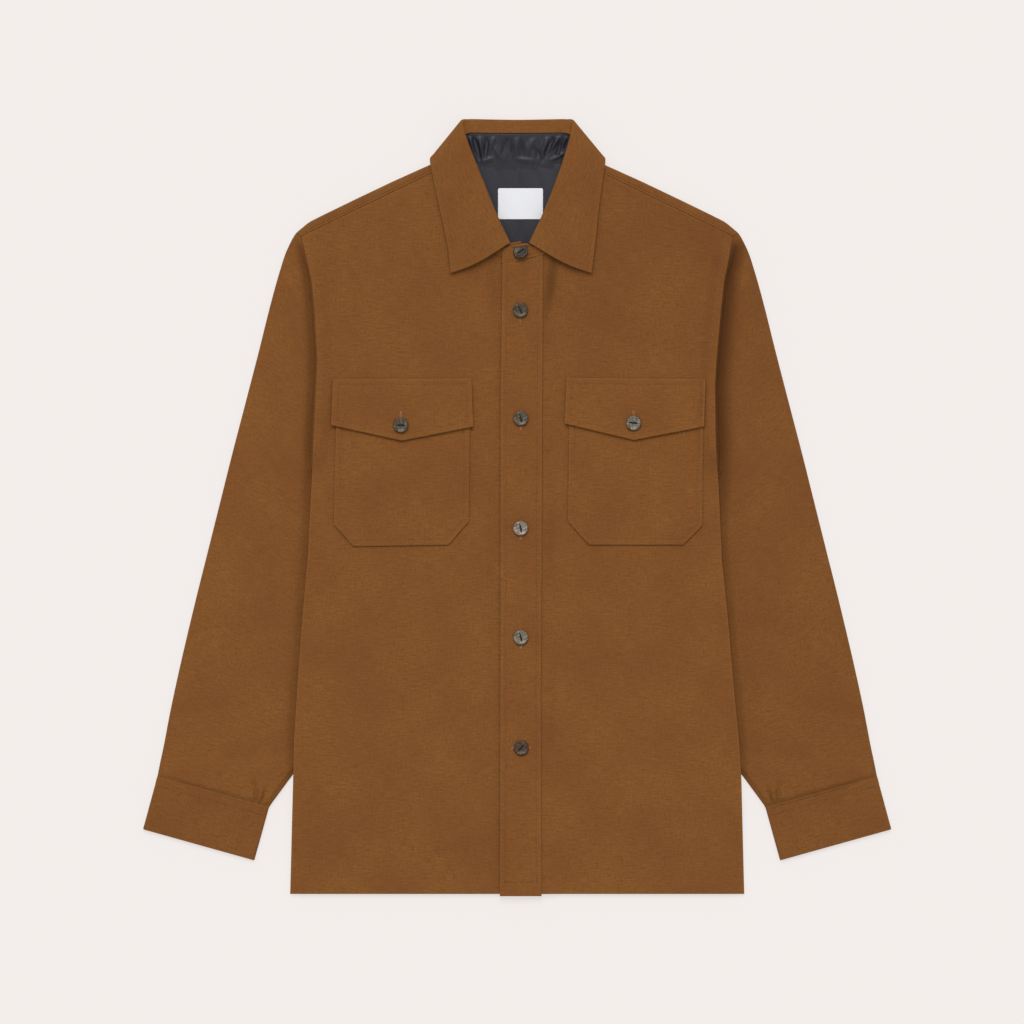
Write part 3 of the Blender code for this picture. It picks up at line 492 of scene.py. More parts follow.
# Soft folds of the fronts: x, y, half length, half width, angle of the length, height
FRONT_FOLDS = (
    (-120.0, 190.0, 90.0, 55.0, 65.0, 1.0),
    (125.0, 205.0, 80.0, 50.0, -50.0, 0.9),
    (-150.0, -130.0, 150.0, 55.0, 82.0, 1.1),
    (-75.0, -250.0, 120.0, 50.0, 70.0, 0.9),
    (95.0, -110.0, 140.0, 55.0, -80.0, 1.0),
    (160.0, -270.0, 110.0, 50.0, -65.0, 1.1),
    (-70.0, 40.0, 90.0, 45.0, 15.0, 0.6),
    (100.0, -330.0, 90.0, 45.0, 10.0, 0.7),
    (33.0, -30.0, 85.0, 10.0, 89.0, -0.5),
    (-27.0, -80.0, 140.0, 9.0, 90.0, -0.3),
    (34.0, -210.0, 90.0, 9.0, 88.0, -0.3),
    (-196.0, 175.0, 60.0, 12.0, 78.0, 0.4),
    (192.0, 150.0, 70.0, 13.0, -80.0, 0.4),
    (-185.0, 230.0, 34.0, 9.0, 52.0, 0.3),
    (182.0, 236.0, 36.0, 9.0, -50.0, 0.3),
    (-30.0, 60.0, 60.0, 14.0, 70.0, 0.3),
    (205.0, -60.0, 120.0, 14.0, -88.0, 0.35),
    (-205.0, -40.0, 110.0, 14.0, 88.0, 0.35),
    (33.5, 222.0, 46.0, 9.0, 82.0, -1.8),
    (-24.0, 212.0, 60.0, 9.0, 92.0, -0.5),
    (-60.0, -340.0, 70.0, 16.0, 12.0, -0.4),
    (140.0, -345.0, 80.0, 14.0, -6.0, -0.4),
    (-160.0, -340.0, 60.0, 14.0, 4.0, 0.35),
)


def collar_lean(y):
    """How far the collar lies towards the wearer's left at this height."""
    return COLLAR_LEAN * np.clip((388.0 - y) / (388.0 - 262.7), 0.0, 1.0) ** 2


def front_lie(side, x, y):
    """Height of a front's middle: on the back, turned down at the side seam."""
    height = back_lie(x, y) + CLOTH + AIR + folds(FRONT_FOLDS, x, y)
    above_underarm = ramp(y, UNDERARM, UNDERARM + 30.0)
    inside = body_edge(side, y) - np.abs(x)
    height = height + (GAP - AIR) * (1.0 - ramp(inside, 0.0, EDGE_ROLL)) * (1.0 - above_underarm)
    rise = ARMHOLE_RISE["left" if side > 0 else "right"] * ramp(SHOULDER_END - y, -5.0, 21.0)
    height = height + ((1.0 + rise) * above_underarm
                       * (1.0 - ramp(inside - ARMHOLE_TUCK, -3.0, EDGE_ROLL - 3.0)))
    if side > 0:
        height = height + STEP_UP * ramp(x, *OVERLAP_RAMP)
    return height


def wobble(along):
    """Uneven puckers along a row of stitches."""
    return (0.5 * np.sin(along * 0.71 + 1.3) + 0.3 * np.sin(along * 1.37 + 0.4)
            + 0.2 * np.sin(along * 0.23 + 2.2))


def stitched(inside, along, at, fold=0.3, deep=0.34):
    """Relief beside a row of stitches at a distance from a folded edge."""
    doubled = fold * (1.0 - ease((inside - at + 0.3) / 2.2))
    groove = -deep * np.exp(-((inside - at) / 0.85) ** 2)
    pucker = 0.12 * np.exp(-((inside - at) / 4.0) ** 2) * wobble(along)
    return doubled + groove + pucker


# Spun polyester thread, dyed to the cloth: a little darker and glossier than the nap
THREAD, _, _ = new_material("polyester_thread", specular=0.3, roughness=0.6,
                            base_color=linear_rgb("#784c27"))
STITCH_PITCH = 3.0
# One stitch: how far along it, the thread's radius there, and how deep it lies in the cloth
STITCH = ((-1.15, 0.0735, 0.54), (-0.69, 0.189, 0.18), (0.0, 0.21, 0.12), (0.69, 0.189, 0.18),
          (1.15, 0.0735, 0.54))


def add_tube(places, faces, path, sizes, beside, sides=5):
    """Add a closed tube along a path, with its radius at each point and the way across it."""
    start = len(places)
    for point, size in zip(path, sizes):
        for k in range(sides):
            turn = math.tau * k / sides
            places.append(point + beside * size * math.cos(turn)
                          + np.array([0.0, 0.0, size * math.sin(turn)]))
    last = start + (len(path) - 1) * sides
    for ring in range(start, last, sides):
        for k in range(sides):
            a, b = ring + k, ring + (k + 1) % sides
            faces.append((a, b, b + sides, a + sides))
    faces.append(tuple(start + sides - 1 - k for k in range(sides)))
    faces.append(tuple(last + k for k in range(sides)))


def sew(name, lines):
    """Lay a row of lockstitches along each line of points, which lie on the cloth's face."""
    places, faces = [], []
    ring_at, ring_size, ring_sink = np.array(STITCH).T
    for line in lines:
        line = np.asarray(line, float)
        along = distances(line)
        count = max(1, int(along[-1] // STITCH_PITCH))
        for number in range(count):
            at = (number + 0.5) * along[-1] / count + ring_at
            thread = np.stack([np.interp(at, along, line[:, k]) for k in range(3)], 1)
            tangent = thread[-1] - thread[0]
            beside = np.array([tangent[1], -tangent[0], 0.0])
            beside /= max(np.linalg.norm(beside), 1e-9)
            thread[:, 2] += ring_size - ring_sink
            add_tube(places, faces, thread, ring_size, beside)
    obj = put(name, new_mesh(name, places, faces, THREAD))
    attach(obj, "root")


def on_face(line, height):
    """Put a line of plan points on the face of the cloth, whose middle lies at a height."""
    line = np.asarray(line, float)
    return np.column_stack([line, height(line[:, 0], line[:, 1]) + CLOTH / 2])


def make_front(side_name):
    side = 1 if side_name == "left" else -1
    neckline = np.array(LEFT_NECKLINE if side > 0 else RIGHT_NECKLINE)
    half = [(side * nx + collar_lean(ny), ny) for nx, ny in neckline]
    half += [(side * sx, sy - SEWN) for sx, sy in SHOULDER_SEAM]
    half[-1] = (side * float(body_edge(side, SHOULDER_END)), SHOULDER_END)
    half = np.array(half)
    inner_low, inner_high = FRONT_EDGE[side_name]
    half[0, 0] = inner_high
    wide = abs(half[-1, 0] - inner_high)
    across = spaced(wide, 3.2, last=(ARMHOLE_STITCH,)) / wide
    x = mix(inner_high, half[-1, 0], across)
    order = slice(None) if side > 0 else slice(None, None, -1)
    top = np.stack([x, np.interp(x, half[order, 0], half[order, 1])], 1)
    outer_x = side * float(body_edge(side, HEM))
    bottom = np.stack([mix(inner_low, outer_x, across), np.full_like(x, HEM)], 1)
    tall = SHOULDER_END - HEM
    up = spaced(tall, 3.6, first=(HEM_STITCH,)) / tall
    y = HEM + tall * up
    inner = np.stack([mix(inner_low, inner_high, up), mix(HEM, half[0, 1], up)], 1)
    outer = np.stack([side * body_edge(side, y), y], 1)
    plan = fill_between(bottom, top, inner, outer, across, up)
    middle = raised(plan, lambda px, py: front_lie(side, px, py))
    px, py = plan[..., 0], plan[..., 1]

    def relief(_):
        inside = body_edge(side, py) - np.abs(px)
        hem = stitched(py - HEM, px, HEM_STITCH, fold=0.35, deep=0.22)
        armhole = stitched(inside, py, ARMHOLE_STITCH, deep=0.2)
        return hem * ramp(py, HEM + 40.0, HEM + 25.0) + armhole * ramp(py - UNDERARM, -8.0, 8.0)

    # Painted shade: the folds' troughs are painted darker, and the left front above the pocket too
    extra_painted_shade = np.clip(-folds(FRONT_FOLDS, px, py), 0.0, 1.6)
    if side > 0:
        extra_painted_shade = extra_painted_shade + PAINTED_NAP_SHADE * ramp(py, 120.0, 180.0)
    obj = shell("front_" + side_name + "_panel", middle, CLOTH, COTTON, plan, relief, out=side,
                extra_painted_shade=extra_painted_shade)
    stand_for(obj, "front_" + side_name)
    y = np.arange(UNDERARM + 3.0, SHOULDER_END - 1.0, 2.0)
    armhole = np.stack([side * (body_edge(side, y) - ARMHOLE_STITCH), y], 1)
    end = side * (float(body_edge(side, HEM + HEM_STITCH)) - 1.0)
    hem_x = np.linspace(HEM_STITCH_START[side_name], end, 90)
    hem = np.stack([hem_x, np.full_like(hem_x, HEM + HEM_STITCH)], 1)
    sew("stitching_front_" + side_name,
        [on_face(row, lambda ax, ay: front_lie(side, ax, ay)) for row in (armhole, hem)])


back = make_back()
stand_for(back, "back")
for wearer_side in ("right", "left"):
    make_front(wearer_side)


# ---------------------------------------------------------------- the placket
# The buttonhole band on the left front's edge: a strip of the cotton folded in on both sides,
# with a row of stitches inside each fold and one across above the hem.
PLACKET = ((-388.6, -17.4, 24.4), (-193.0, -17.0, 23.8), (27.0, -16.7, 25.0),
           (107.0, -16.7, 25.2), (243.4, -15.0, 25.9))
PLACKET_TOP = ((-15.0, 242.9), (-0.9, 244.6), (13.0, 248.4), (25.9, 252.2))
PLACKET_STITCH = 5.2
PLACKET_CROSS_STITCH = 13.8
PLACKET_CROSS = (-16.5, 23.5)


def placket_lie(x, y):
    return front_lie(1, x, y) + STEP_UP


def make_placket():
    low, high = PLACKET[0][0], PLACKET[-1][0]
    wide = PLACKET_TOP[-1][0] - PLACKET_TOP[0][0]
    across = spaced(wide, 2.0, first=(PLACKET_STITCH,), last=(PLACKET_STITCH,)) / wide
    up = spaced(high - low, 2.6, first=(PLACKET_CROSS_STITCH,)) / (high - low)
    y = mix(low, high, up)
    left = np.stack([read(PLACKET, y, 1), y], 1)
    right = np.stack([read(PLACKET, y, 2), y], 1)
    corner = np.array(PLACKET_TOP)
    right[:, 1] = mix(low, corner[-1, 1], up)
    top_x = mix(left[-1, 0], right[-1, 0], across)
    top = np.stack([top_x, np.interp(top_x, corner[:, 0], corner[:, 1])], 1)
    left[-1], right[-1] = top[0], top[-1]
    bottom = np.stack([mix(left[0, 0], right[0, 0], across), np.full_like(top_x, low)], 1)
    plan = fill_between(bottom, top, left, right, across, up)
    middle = raised(plan, placket_lie)
    px, py = plan[..., 0], plan[..., 1]

    def relief(_):
        left_in, right_in = px - read(PLACKET, py, 1), read(PLACKET, py, 2) - px
        sides = stitched(np.minimum(left_in, right_in), py, PLACKET_STITCH)
        cross = stitched(py - low, px, PLACKET_CROSS_STITCH, fold=0.2)
        return sides + cross * ramp(py, low + 30.0, low + 22.0)

    obj = shell("placket_band", middle, CLOTH, COTTON, plan, relief)
    stand_for(obj, "placket")
    y = np.arange(low + 2.0, 240.0, 3.0)
    rows = [np.stack([read(PLACKET, y, 1) + PLACKET_STITCH, y], 1),
            np.stack([read(PLACKET, y, 2) - PLACKET_STITCH, y], 1)]
    x = np.linspace(*PLACKET_CROSS, 20)
    rows.append(np.stack([x, np.full_like(x, low + PLACKET_CROSS_STITCH)], 1))
    sew("stitching_placket", [on_face(row, placket_lie) for row in rows])


make_placket()


# ---------------------------------------------------------------- the chest pockets
# Patch pockets with cut-off bottom corners, their edges turned in and stitched to the fronts,
# each under a pointed flap, which is doubled, turned out and stitched along its edges.
POCKETS = {
    "right": ((46.9, 111.0), (48.2, -14.2), (68.6, -37.8), (163.6, -39.3), (183.3, -17.3),
              (180.6, 111.0)),
    "left": ((52.2, 111.0), (50.3, -14.2), (71.9, -37.8), (165.7, -37.8), (185.0, -18.6),
             (185.6, 111.0)),
}
# Flaps: top inner, bottom inner, point, bottom outer, top outer
FLAPS = {
    "right": ((45.6, 128.7), (43.7, 80.2), (115.2, 66.2), (185.9, 81.7), (184.3, 128.1)),
    "left": ((48.9, 129.3), (47.3, 83.4), (116.6, 66.8), (186.4, 80.2), (188.0, 128.1)),
}
POCKET_STITCH = 6.0
FLAP_STITCH = 5.8
FLAP_SETTLE = 15.0
FLAP_LIFT = 1.4
POCKET_WIDE, POCKET_TALL = 136.0, 126.0
FLAP_WIDE, FLAP_TALL = 140.0, 50.0
# Where the pocket's lower corners and the flap's point come along their low lines
POCKET_SHARES = (0.0, 0.15, 0.85, 1.0)
FLAP_SHARES = (0.0, 0.5, 1.0)


def pocket_lie(side, x, y):
    return front_lie(side, x, y) + STEP_UP


def flap_lie(side_name, x, y):
    """Height of a flap's middle: from its seam it comes to lie on the pocket, and its low edge,
    which the button doesn't hold, stands off a little."""
    side = 1 if side_name == "left" else -1
    top_inner, *low, _ = np.array(FLAPS[side_name])
    to_point = y - np.interp(np.abs(x), [at[0] for at in low], [at[1] for at in low])
    on_pocket = ramp(y, top_inner[1], top_inner[1] - FLAP_SETTLE)
    return (front_lie(side, x, y) + STEP_UP * (1.0 + on_pocket)
            + FLAP_LIFT * (1.0 - ramp(to_point, 0.0, 11.0)))


def inset(outline, distance):
    """Move an open outline sideways, to its left, with sharp corners."""
    points = np.array(outline, float)
    moved = []
    for a, b in zip(points, points[1:]):
        along = unit(b - a)
        shift = np.array([-along[1], along[0]]) * distance
        moved.append((a + shift, b + shift))
    line = [moved[0][0]]
    for (a, b), (c, d) in zip(moved, moved[1:]):
        r, s = b - a, d - c
        t = ((c[0] - a[0]) * s[1] - (c[1] - a[1]) * s[0]) / (r[0] * s[1] - r[1] * s[0])
        line.append(a + r * t)
    line.append(moved[-1][1])
    return np.array(line)


def resample(line, step):
    """Put points along a line at even steps, and keep its corners."""
    points = [line[0]]
    for a, b in zip(line, line[1:]):
        count = max(1, round(float(np.linalg.norm(b - a)) / step))
        points += [mix(a, b, (k + 1) / count) for k in range(count)]
    return np.array(points)


def patch(side, corners, shares, across, up):
    """Fill a patch: its corners run from the inner top down, along the low line, and up again."""
    corners = np.array(corners)
    low = corners[1:-1]
    bottom = np.stack([np.interp(across, shares, low[:, k]) for k in (0, 1)], 1)
    top = mix(corners[:1], corners[-1:], across[:, None])
    inner = mix(low[:1], corners[:1], up[:, None])
    outer = mix(low[-1:], corners[-1:], up[:, None])
    return fill_between(bottom, top, inner, outer, across, up) * np.array([side, 1.0])


def make_pocket(side_name):
    side = 1 if side_name == "left" else -1
    corners = POCKETS[side_name]
    row = (POCKET_STITCH,)
    across = spaced(POCKET_WIDE, 2.2, first=row, last=row) / POCKET_WIDE
    up = spaced(POCKET_TALL, 2.2, first=row) / POCKET_TALL
    plan = patch(side, corners, POCKET_SHARES, across, up)
    middle = raised(plan, lambda ax, ay: pocket_lie(side, ax, ay))
    px, py = plan[..., 0], plan[..., 1]
    soft = folds(((side * 90.0, 20.0, 60.0, 20.0, 80.0, 0.25),
                  (side * 150.0, 10.0, 50.0, 16.0, 95.0, 0.2),
                  (side * 120.0, -20.0, 50.0, 12.0, 5.0, 0.2)), px, py)

    def relief(edge):
        return (stitched(edge, px + py, POCKET_STITCH, fold=0.4, deep=0.44)
                + soft * ramp(edge, 8.0, 16.0))

    obj = shell("pocket_" + side_name + "_patch", middle, CLOTH, COTTON, plan, relief, out=side)
    stand_for(obj, "pocket_" + side_name)
    line = resample(inset(corners, POCKET_STITCH), 3.0) * np.array([side, 1.0])
    sew("stitching_pocket_" + side_name,
        [on_face(line, lambda ax, ay: pocket_lie(side, ax, ay))])


def make_flap(side_name):
    side = 1 if side_name == "left" else -1
    corners = FLAPS[side_name]
    row = (FLAP_STITCH,)
    across = spaced(FLAP_WIDE, 2.2, first=row, last=row) / FLAP_WIDE
    up = spaced(FLAP_TALL, 2.0, first=row, last=row) / FLAP_TALL
    plan = patch(side, corners, FLAP_SHARES, across, up)
    middle = raised(plan, lambda ax, ay: flap_lie(side_name, ax, ay))
    px, py = plan[..., 0], plan[..., 1]

    def relief(edge):
        return stitched(edge, px + py, FLAP_STITCH, fold=0.36, deep=0.42)

    obj = shell("flap_" + side_name + "_doubled", middle, CLOTH, COTTON, plan, relief, out=side)
    stand_for(obj, "flap_" + side_name)
    closed = inset([corners[-1], *corners, corners[0]], FLAP_STITCH)[1:-1]
    line = resample(np.concatenate([closed, closed[:1]]), 3.0) * np.array([side, 1.0])
    sew("stitching_flap_" + side_name,
        [on_face(line, lambda ax, ay: flap_lie(side_name, ax, ay))])


for wearer_side in ("right", "left"):
    make_pocket(wearer_side)
    make_flap(wearer_side)


# ---------------------------------------------------------------- the sleeves
# Each sleeve is one piece of the cotton, sewn into a tube along the underarm and pressed flat.
# Its head goes under the body's edge, and two small pleats take its end into the cuff.
# How far the inner edge lies under the body's edge: height, depth
TUCK = (
    (-302.0, -24.6), (-299.5, -23.4), (-266.0, 0.3), (-250.0, 14.0), (-215.0, 38.0),
    (-180.0, 50.0), (-100.0, 55.0), (-40.0, 55.0), (0.0, 45.0), (20.0, 25.0),
    (UNDERARM, ARMHOLE_TUCK), (275.0, ARMHOLE_TUCK),
)
# Sections from the head to inside the cuff: outer fold x and y, height of the inner edge
SLEEVE_SECTIONS = (
    (216.8, 276.2, 262.0), (220.8, 274.3, 255.0), (229.8, 258.0, 238.0), (237.6, 235.0, 205.0),
    (246.5, 203.0, 165.0), (258.5, 155.0, 115.0), (272.5, 101.0, 60.0),
    (285.0, 53.0, 12.0), (297.0, 5.0, -40.0), (309.0, -43.0, -90.0),
    (321.5, -93.0, -145.0), (335.5, -152.0, -190.0), (346.0, -200.0, -232.0),
    (353.3, -238.0, -266.0), (356.9, -255.0, -284.0), (359.6, -268.6, -299.5),
    (360.0, -270.6, -301.6),
)
SLEEVE_LENGTH = 560.0
SLEEVE_PUFF = 1.6
# The sleeve rises out of the valley beside the body: height, and how far it takes to
SLEEVE_HILL = {"left": (5.2, 26.0), "right": (3.0, 12.0)}
SLEEVE_HEAD = 1.4
# Under the front's edge the sleeve comes up to the seam: how far past the edge it has gone
# down again, along the arm and at the head
SLEEVE_SEAM = (3.2, 8.0)
# Painted shade in the valley beside the body: how dark it is painted, and over what width
SLEEVE_VALLEY_SHADE = {"left": (2.3, 16.0), "right": (1.4, 8.0)}
UNDERARM_FOLD = 2.2
# Soft folds of the sleeves, on the wearer's right: x, y, half length, half width, angle, height
SLEEVE_FOLDS = {
    "right": (
        (-246.0, 120.0, 130.0, 13.0, 76.0, 0.7), (-268.0, -20.0, 120.0, 14.0, 77.0, 0.6),
        (-290.0, -140.0, 100.0, 13.0, 74.0, 0.7), (-262.0, -190.0, 60.0, 10.0, 60.0, 0.5),
        (-322.0, -190.0, 60.0, 10.0, 80.0, 0.5), (-225.0, 215.0, 40.0, 9.0, 60.0, 0.4),
        (-276.0, -262.0, 34.0, 5.0, 78.0, 0.6), (-300.0, -262.0, 30.0, 5.0, 72.0, 0.5),
        (-335.0, -250.0, 30.0, 6.0, 78.0, 0.4),
        (-261.0, -288.0, 26.0, 3.4, 95.0, -5.5), (-254.6, -291.0, 18.0, 3.0, 71.0, -5.5),
        (-257.9, -290.0, 18.0, 2.6, 84.0, 1.6), (-265.6, -289.0, 24.0, 3.6, 96.0, 2.4),
    ),
    "left": (
        (240.0, 140.0, 120.0, 13.0, -75.0, 0.7), (262.0, 10.0, 120.0, 14.0, -78.0, 0.6),
        (288.0, -120.0, 110.0, 13.0, -75.0, 0.7), (260.0, -200.0, 50.0, 10.0, -62.0, 0.5),
        (325.0, -200.0, 60.0, 10.0, -78.0, 0.5), (222.0, 220.0, 40.0, 9.0, -58.0, 0.4),
        (278.0, -262.0, 34.0, 5.0, -78.0, 0.6), (303.0, -262.0, 30.0, 5.0, -74.0, 0.5),
        (334.0, -252.0, 30.0, 6.0, -76.0, 0.4),
        (260.4, -288.0, 24.0, 3.4, -95.0, -5.0), (253.8, -291.0, 18.0, 3.0, -72.0, -5.5),
        (257.1, -290.0, 18.0, 2.6, -84.0, 1.6), (265.0, -289.0, 22.0, 3.6, -97.0, 2.2),
    ),
}


def smooth_line(points, at):
    """Read a smooth curve through points (a centripetal spline) at places counted in points."""
    points = np.asarray(points, float)
    padded = np.concatenate([[2 * points[0] - points[1]], points, [2 * points[-1] - points[-2]]])
    line = []
    for place in np.asarray(at, float):
        k = min(int(place), len(points) - 2)
        a, b, c, d = padded[k:k + 4]
        t1 = math.sqrt(np.linalg.norm(b - a))
        t2 = t1 + math.sqrt(np.linalg.norm(c - b))
        t3 = t2 + math.sqrt(np.linalg.norm(d - c))
        t = mix(t1, t2, place - k)
        ab, bc = mix(a, b, t / t1), mix(b, c, (t - t1) / (t2 - t1))
        cd = mix(c, d, (t - t2) / (t3 - t2))
        line.append(mix(mix(ab, bc, t / t2), mix(bc, cd, (t - t1) / (t3 - t1)),
                        (t - t1) / (t2 - t1)))
    return np.array(line)


def flat_tube(outer, inner, low, high, wall, columns, rise):
    """One section of a tube pressed flat: its upper wall, outer fold, lower wall, inner fold."""
    radius = (high - low) / 2
    out = unit(outer - inner)
    a, b = inner + out * (radius + wall / 2), outer - out * (radius + wall / 2)
    section = [np.array([*mix(a, b, share), high + rise(mix(a, b, share), share)])
               for share in columns]
    for angle in (60.0, 30.0, 0.0, -30.0, -60.0):
        turn = math.radians(angle)
        section.append(np.array([*(b + out * radius * math.cos(turn)),
                                 low + radius * (1.0 + math.sin(turn))]))
    section += [np.array([*mix(b, a, share), low]) for share in columns]
    for angle in (-60.0, -30.0, 0.0, 30.0, 60.0):
        turn = math.radians(angle)
        section.append(np.array([*(a - out * radius * math.cos(turn)),
                                 low + radius * (1.0 + math.sin(turn))]))
    return section


def unrolled(middle):
    """Lay a tube's sections out flat: distance round each section, and along the first fold."""
    closed = np.concatenate([middle, middle[:, :1]], 1)
    round_it = np.linalg.norm(np.diff(closed, axis=1), axis=2)
    u = np.concatenate([np.zeros((len(middle), 1)), np.cumsum(round_it, 1)], 1)
    v = distances(middle.mean(1))
    return np.dstack([u, np.broadcast_to(v[:, None], u.shape)])


def to_seam(side, x, y, high):
    """How far a sleeve's upper wall rises to meet the front, to which it is sewn."""
    edge = float(body_edge(side, y))
    past = mix(*SLEEVE_SEAM, ramp(y, 235.0, 265.0))
    if y < UNDERARM - 12.0 or x > edge + past:
        return 0.0
    beside_back = edge - SHOULDER_INSET * ramp(y - UNDERARM, -10.0, 10.0)
    under = np.array(side * min(x, edge - 0.5)), np.array(y)
    rise = float(front_lie(side, *under)) - CLOTH - SEWN - high
    return (max(rise, 0.0) * ramp(x - beside_back, 0.5, 3.0) * ramp(x, edge + past, edge)
            * ramp(y - UNDERARM, -10.0, 2.0))


def make_sleeve(side_name):
    side = 1 if side_name == "left" else -1
    low, high = CLOTH / 2, CLOTH * 1.5 + 2 * GAP
    sections = np.array(SLEEVE_SECTIONS)
    at = spaced(SLEEVE_LENGTH, 4.0) / SLEEVE_LENGTH * (len(sections) - 1)
    line = smooth_line(sections, at)
    cuff = sections[-1, :2]
    hill, reach = SLEEVE_HILL[side_name]
    columns = np.concatenate([np.linspace(0.0, 0.04, 7), np.linspace(0.045, 0.26, 56),
                              np.linspace(0.28, 1.0, 38)])
    rows = []
    for outer_x, outer_y, inner_y in line:
        inner = np.array([float(body_edge(side, inner_y) - read(TUCK, inner_y)), inner_y])
        outer = np.array([outer_x, outer_y])
        to_cuff = np.linalg.norm(outer - cuff)

        def rise(point, share):
            x, y = point
            edge = float(body_edge(side, y))
            visible = (x - edge - 5.0) / max(outer_x - edge - 7.0, 1.0)
            puff = SLEEVE_PUFF * math.sin(math.pi * min(max(visible, 0.0), 1.0))
            puff += hill * ramp(x - edge, 3.0, 3.0 + reach) * ease((1.0 - visible) * 3.0)
            soft = folds(SLEEVE_FOLDS[side_name], np.array(side * x), np.array(y))
            puff += float(soft) * ease(visible * 5.0) * ease((1.0 - visible) * 8.0)
            puff *= mix(0.45, 1.0, ramp(to_cuff, 0.0, 90.0)) * ramp(SHOULDER_END - y, -5.0, 55.0)
            puff += SLEEVE_HEAD * ramp(y, 235.0, 265.0) * (1.0 - ramp(share, 0.45, 0.95))
            from_inner = share * np.linalg.norm(outer - inner)
            puff += UNDERARM_FOLD * ramp(from_inner, 0.0, 5.0) * ramp(y, -245.0, -265.0)
            puff *= mix(0.4, 1.0, ramp(to_cuff, 1.5, 5.5))
            return max(puff, to_seam(side, x, y, high))

        section = np.array(flat_tube(outer, inner, low, high, CLOTH, columns, rise))
        rows.append(section * np.array([side, 1.0, 1.0]))
    middle = np.array(rows)[::-1]
    cut = unrolled(middle)
    x, y = np.abs(middle[..., 0]), middle[..., 1]
    # Painted shade along the valley beside the body, fading out away from it
    valley_shade, width = SLEEVE_VALLEY_SHADE[side_name]
    above = ramp(y, -40.0, 70.0)
    from_body = x - body_edge(side, y)
    extra_painted_shade = (mix(0.9, valley_shade, above) * (1.0 - ease((from_body - 4.0) / mix(6.0, width, above)))
               * (from_body > -3.0) * (middle[..., 2] > 2.0) * ramp(SHOULDER_END - y, 0.0, 12.0))
    # Painted shade over the left sleeve, darker towards the shoulder
    if side > 0:
        extra_painted_shade = extra_painted_shade + PAINTED_NAP_SHADE * mix(1.0, 1.6, ramp(y, 60.0, 160.0))
    obj = shell("sleeve_" + side_name + "_tube", middle, CLOTH, COTTON, cut, loop=True, out=side,
                extra_painted_shade=extra_painted_shade)
    stand_for(obj, "sleeve_" + side_name)


for wearer_side in ("right", "left"):
    make_sleeve(wearer_side)


# ---------------------------------------------------------------- the cuffs
# A closed band of doubled, interlined cotton, which takes the sleeve's end between its plies,
# with a row of stitches below the seam.
CUFF_WALL = 2.0
CUFF_CORNERS = ((359.6, -268.6), (374.1, -322.0), (262.8, -353.1), (248.0, -299.5))
CUFF_STITCH = 9.5


def make_cuff(side_name):
    side = 1 if side_name == "left" else -1
    seam_out, hem_out, hem_in, seam_in = map(np.array, CUFF_CORNERS)
    low, high = CUFF_WALL / 2, CUFF_WALL * 1.5 + 2 * GAP
    tall = float(np.linalg.norm(hem_out - seam_out))
    places = spaced(tall, 2.2, first=(CUFF_STITCH,))
    columns = np.linspace(0.0, 1.0, 60)
    rows = []
    for place in places / tall:
        outer = mix(seam_out, hem_out, place)
        inner = mix(seam_in, hem_in, place)

        def rise(_, share):
            return (0.35 * math.sin(math.pi * share) * math.sin(math.pi * place)
                    + 0.12 * math.sin(share * 23.0 + 2.0) * (1.0 - place) ** 2)

        section = np.array(flat_tube(outer, inner, low, high, CUFF_WALL, columns, rise))
        rows.append(section * np.array([side, 1.0, 1.0]))
    middle = np.array(rows)[::-1]
    cut = unrolled(middle)
    from_seam = np.broadcast_to(places[::-1, None], middle.shape[:2])
    upper = np.arange(middle.shape[1]) < len(columns) + 5

    def relief(_):
        return stitched(from_seam, cut[:, :-1, 0], CUFF_STITCH, fold=0.16, deep=0.2) * upper

    # Painted shade: the cuffs are painted a little darker all over
    obj = shell("cuff_" + side_name + "_band", middle, CUFF_WALL, COTTON, cut, relief,
                loop=True, out=side, extra_painted_shade=PAINTED_NAP_SHADE)
    stand_for(obj, "cuff_" + side_name)
    place = CUFF_STITCH / tall
    a, b = mix(seam_in, hem_in, place), mix(seam_out, hem_out, place)
    x = np.linspace(0.02, 0.98, 50)[:, None]
    line = mix(a, b, x) * np.array([side, 1.0])
    height = high + 0.3 * np.sin(np.pi * x[:, 0]) * math.sin(math.pi * place) + CUFF_WALL / 2
    sew("stitching_cuff_" + side_name, [np.column_stack([line, height])])


for wearer_side in ("right", "left"):
    make_cuff(wearer_side)


# ---------------------------------------------------------------- the collar
# A stand of two plies round the neck, buttoned in front, and the fall sewn to its top, which
# rolls over and lies on the fronts with two points. At the back the fall lies under the neck.
COLLAR_WALL = 1.5
# Station, ridge, free edge, seam on the stand, and the stand's height there: x, y, z of the
# wall's middle, from the front end round to the centre back
COLLAR_STATIONS = (
    ("front", (9.7, 263.6, 12.0), (70.4, 233.7, 8.4), (13.3, 261.8, 10.0), 9.4),
    ("lower", (22.8, 290.8, 13.2), (73.8, 262.0, 8.6), (26.3, 288.9, 11.2), 11.0),
    ("middle", (33.8, 318.0, 13.6), (79.3, 296.0, 8.9), (37.4, 316.4, 11.6), 11.4),
    ("upper", (44.0, 345.0, 12.8), (84.3, 326.0, 8.9), (47.4, 343.2, 10.8), 10.6),
    ("top", (53.4, 374.0, 11.2), (87.4, 343.2, 8.6), (54.6, 367.0, 9.8), 9.4),
    ("turn", (54.2, 386.0, 7.3), (87.1, 348.1, 4.6), (52.6, 371.8, 7.8), 7.2),
    ("under", (48.5, 387.1, 4.0), (83.0, 341.5, 0.9), (46.5, 373.7, 5.9), 5.0),
    ("side", (28.0, 386.9, 3.3), (48.0, 333.5, 0.9), (28.0, 373.6, 6.3), 5.0),
    ("centre", (0.0, 386.5, 3.2), (0.0, 331.5, 0.9), (0.0, 373.6, 6.3), 5.0),
)
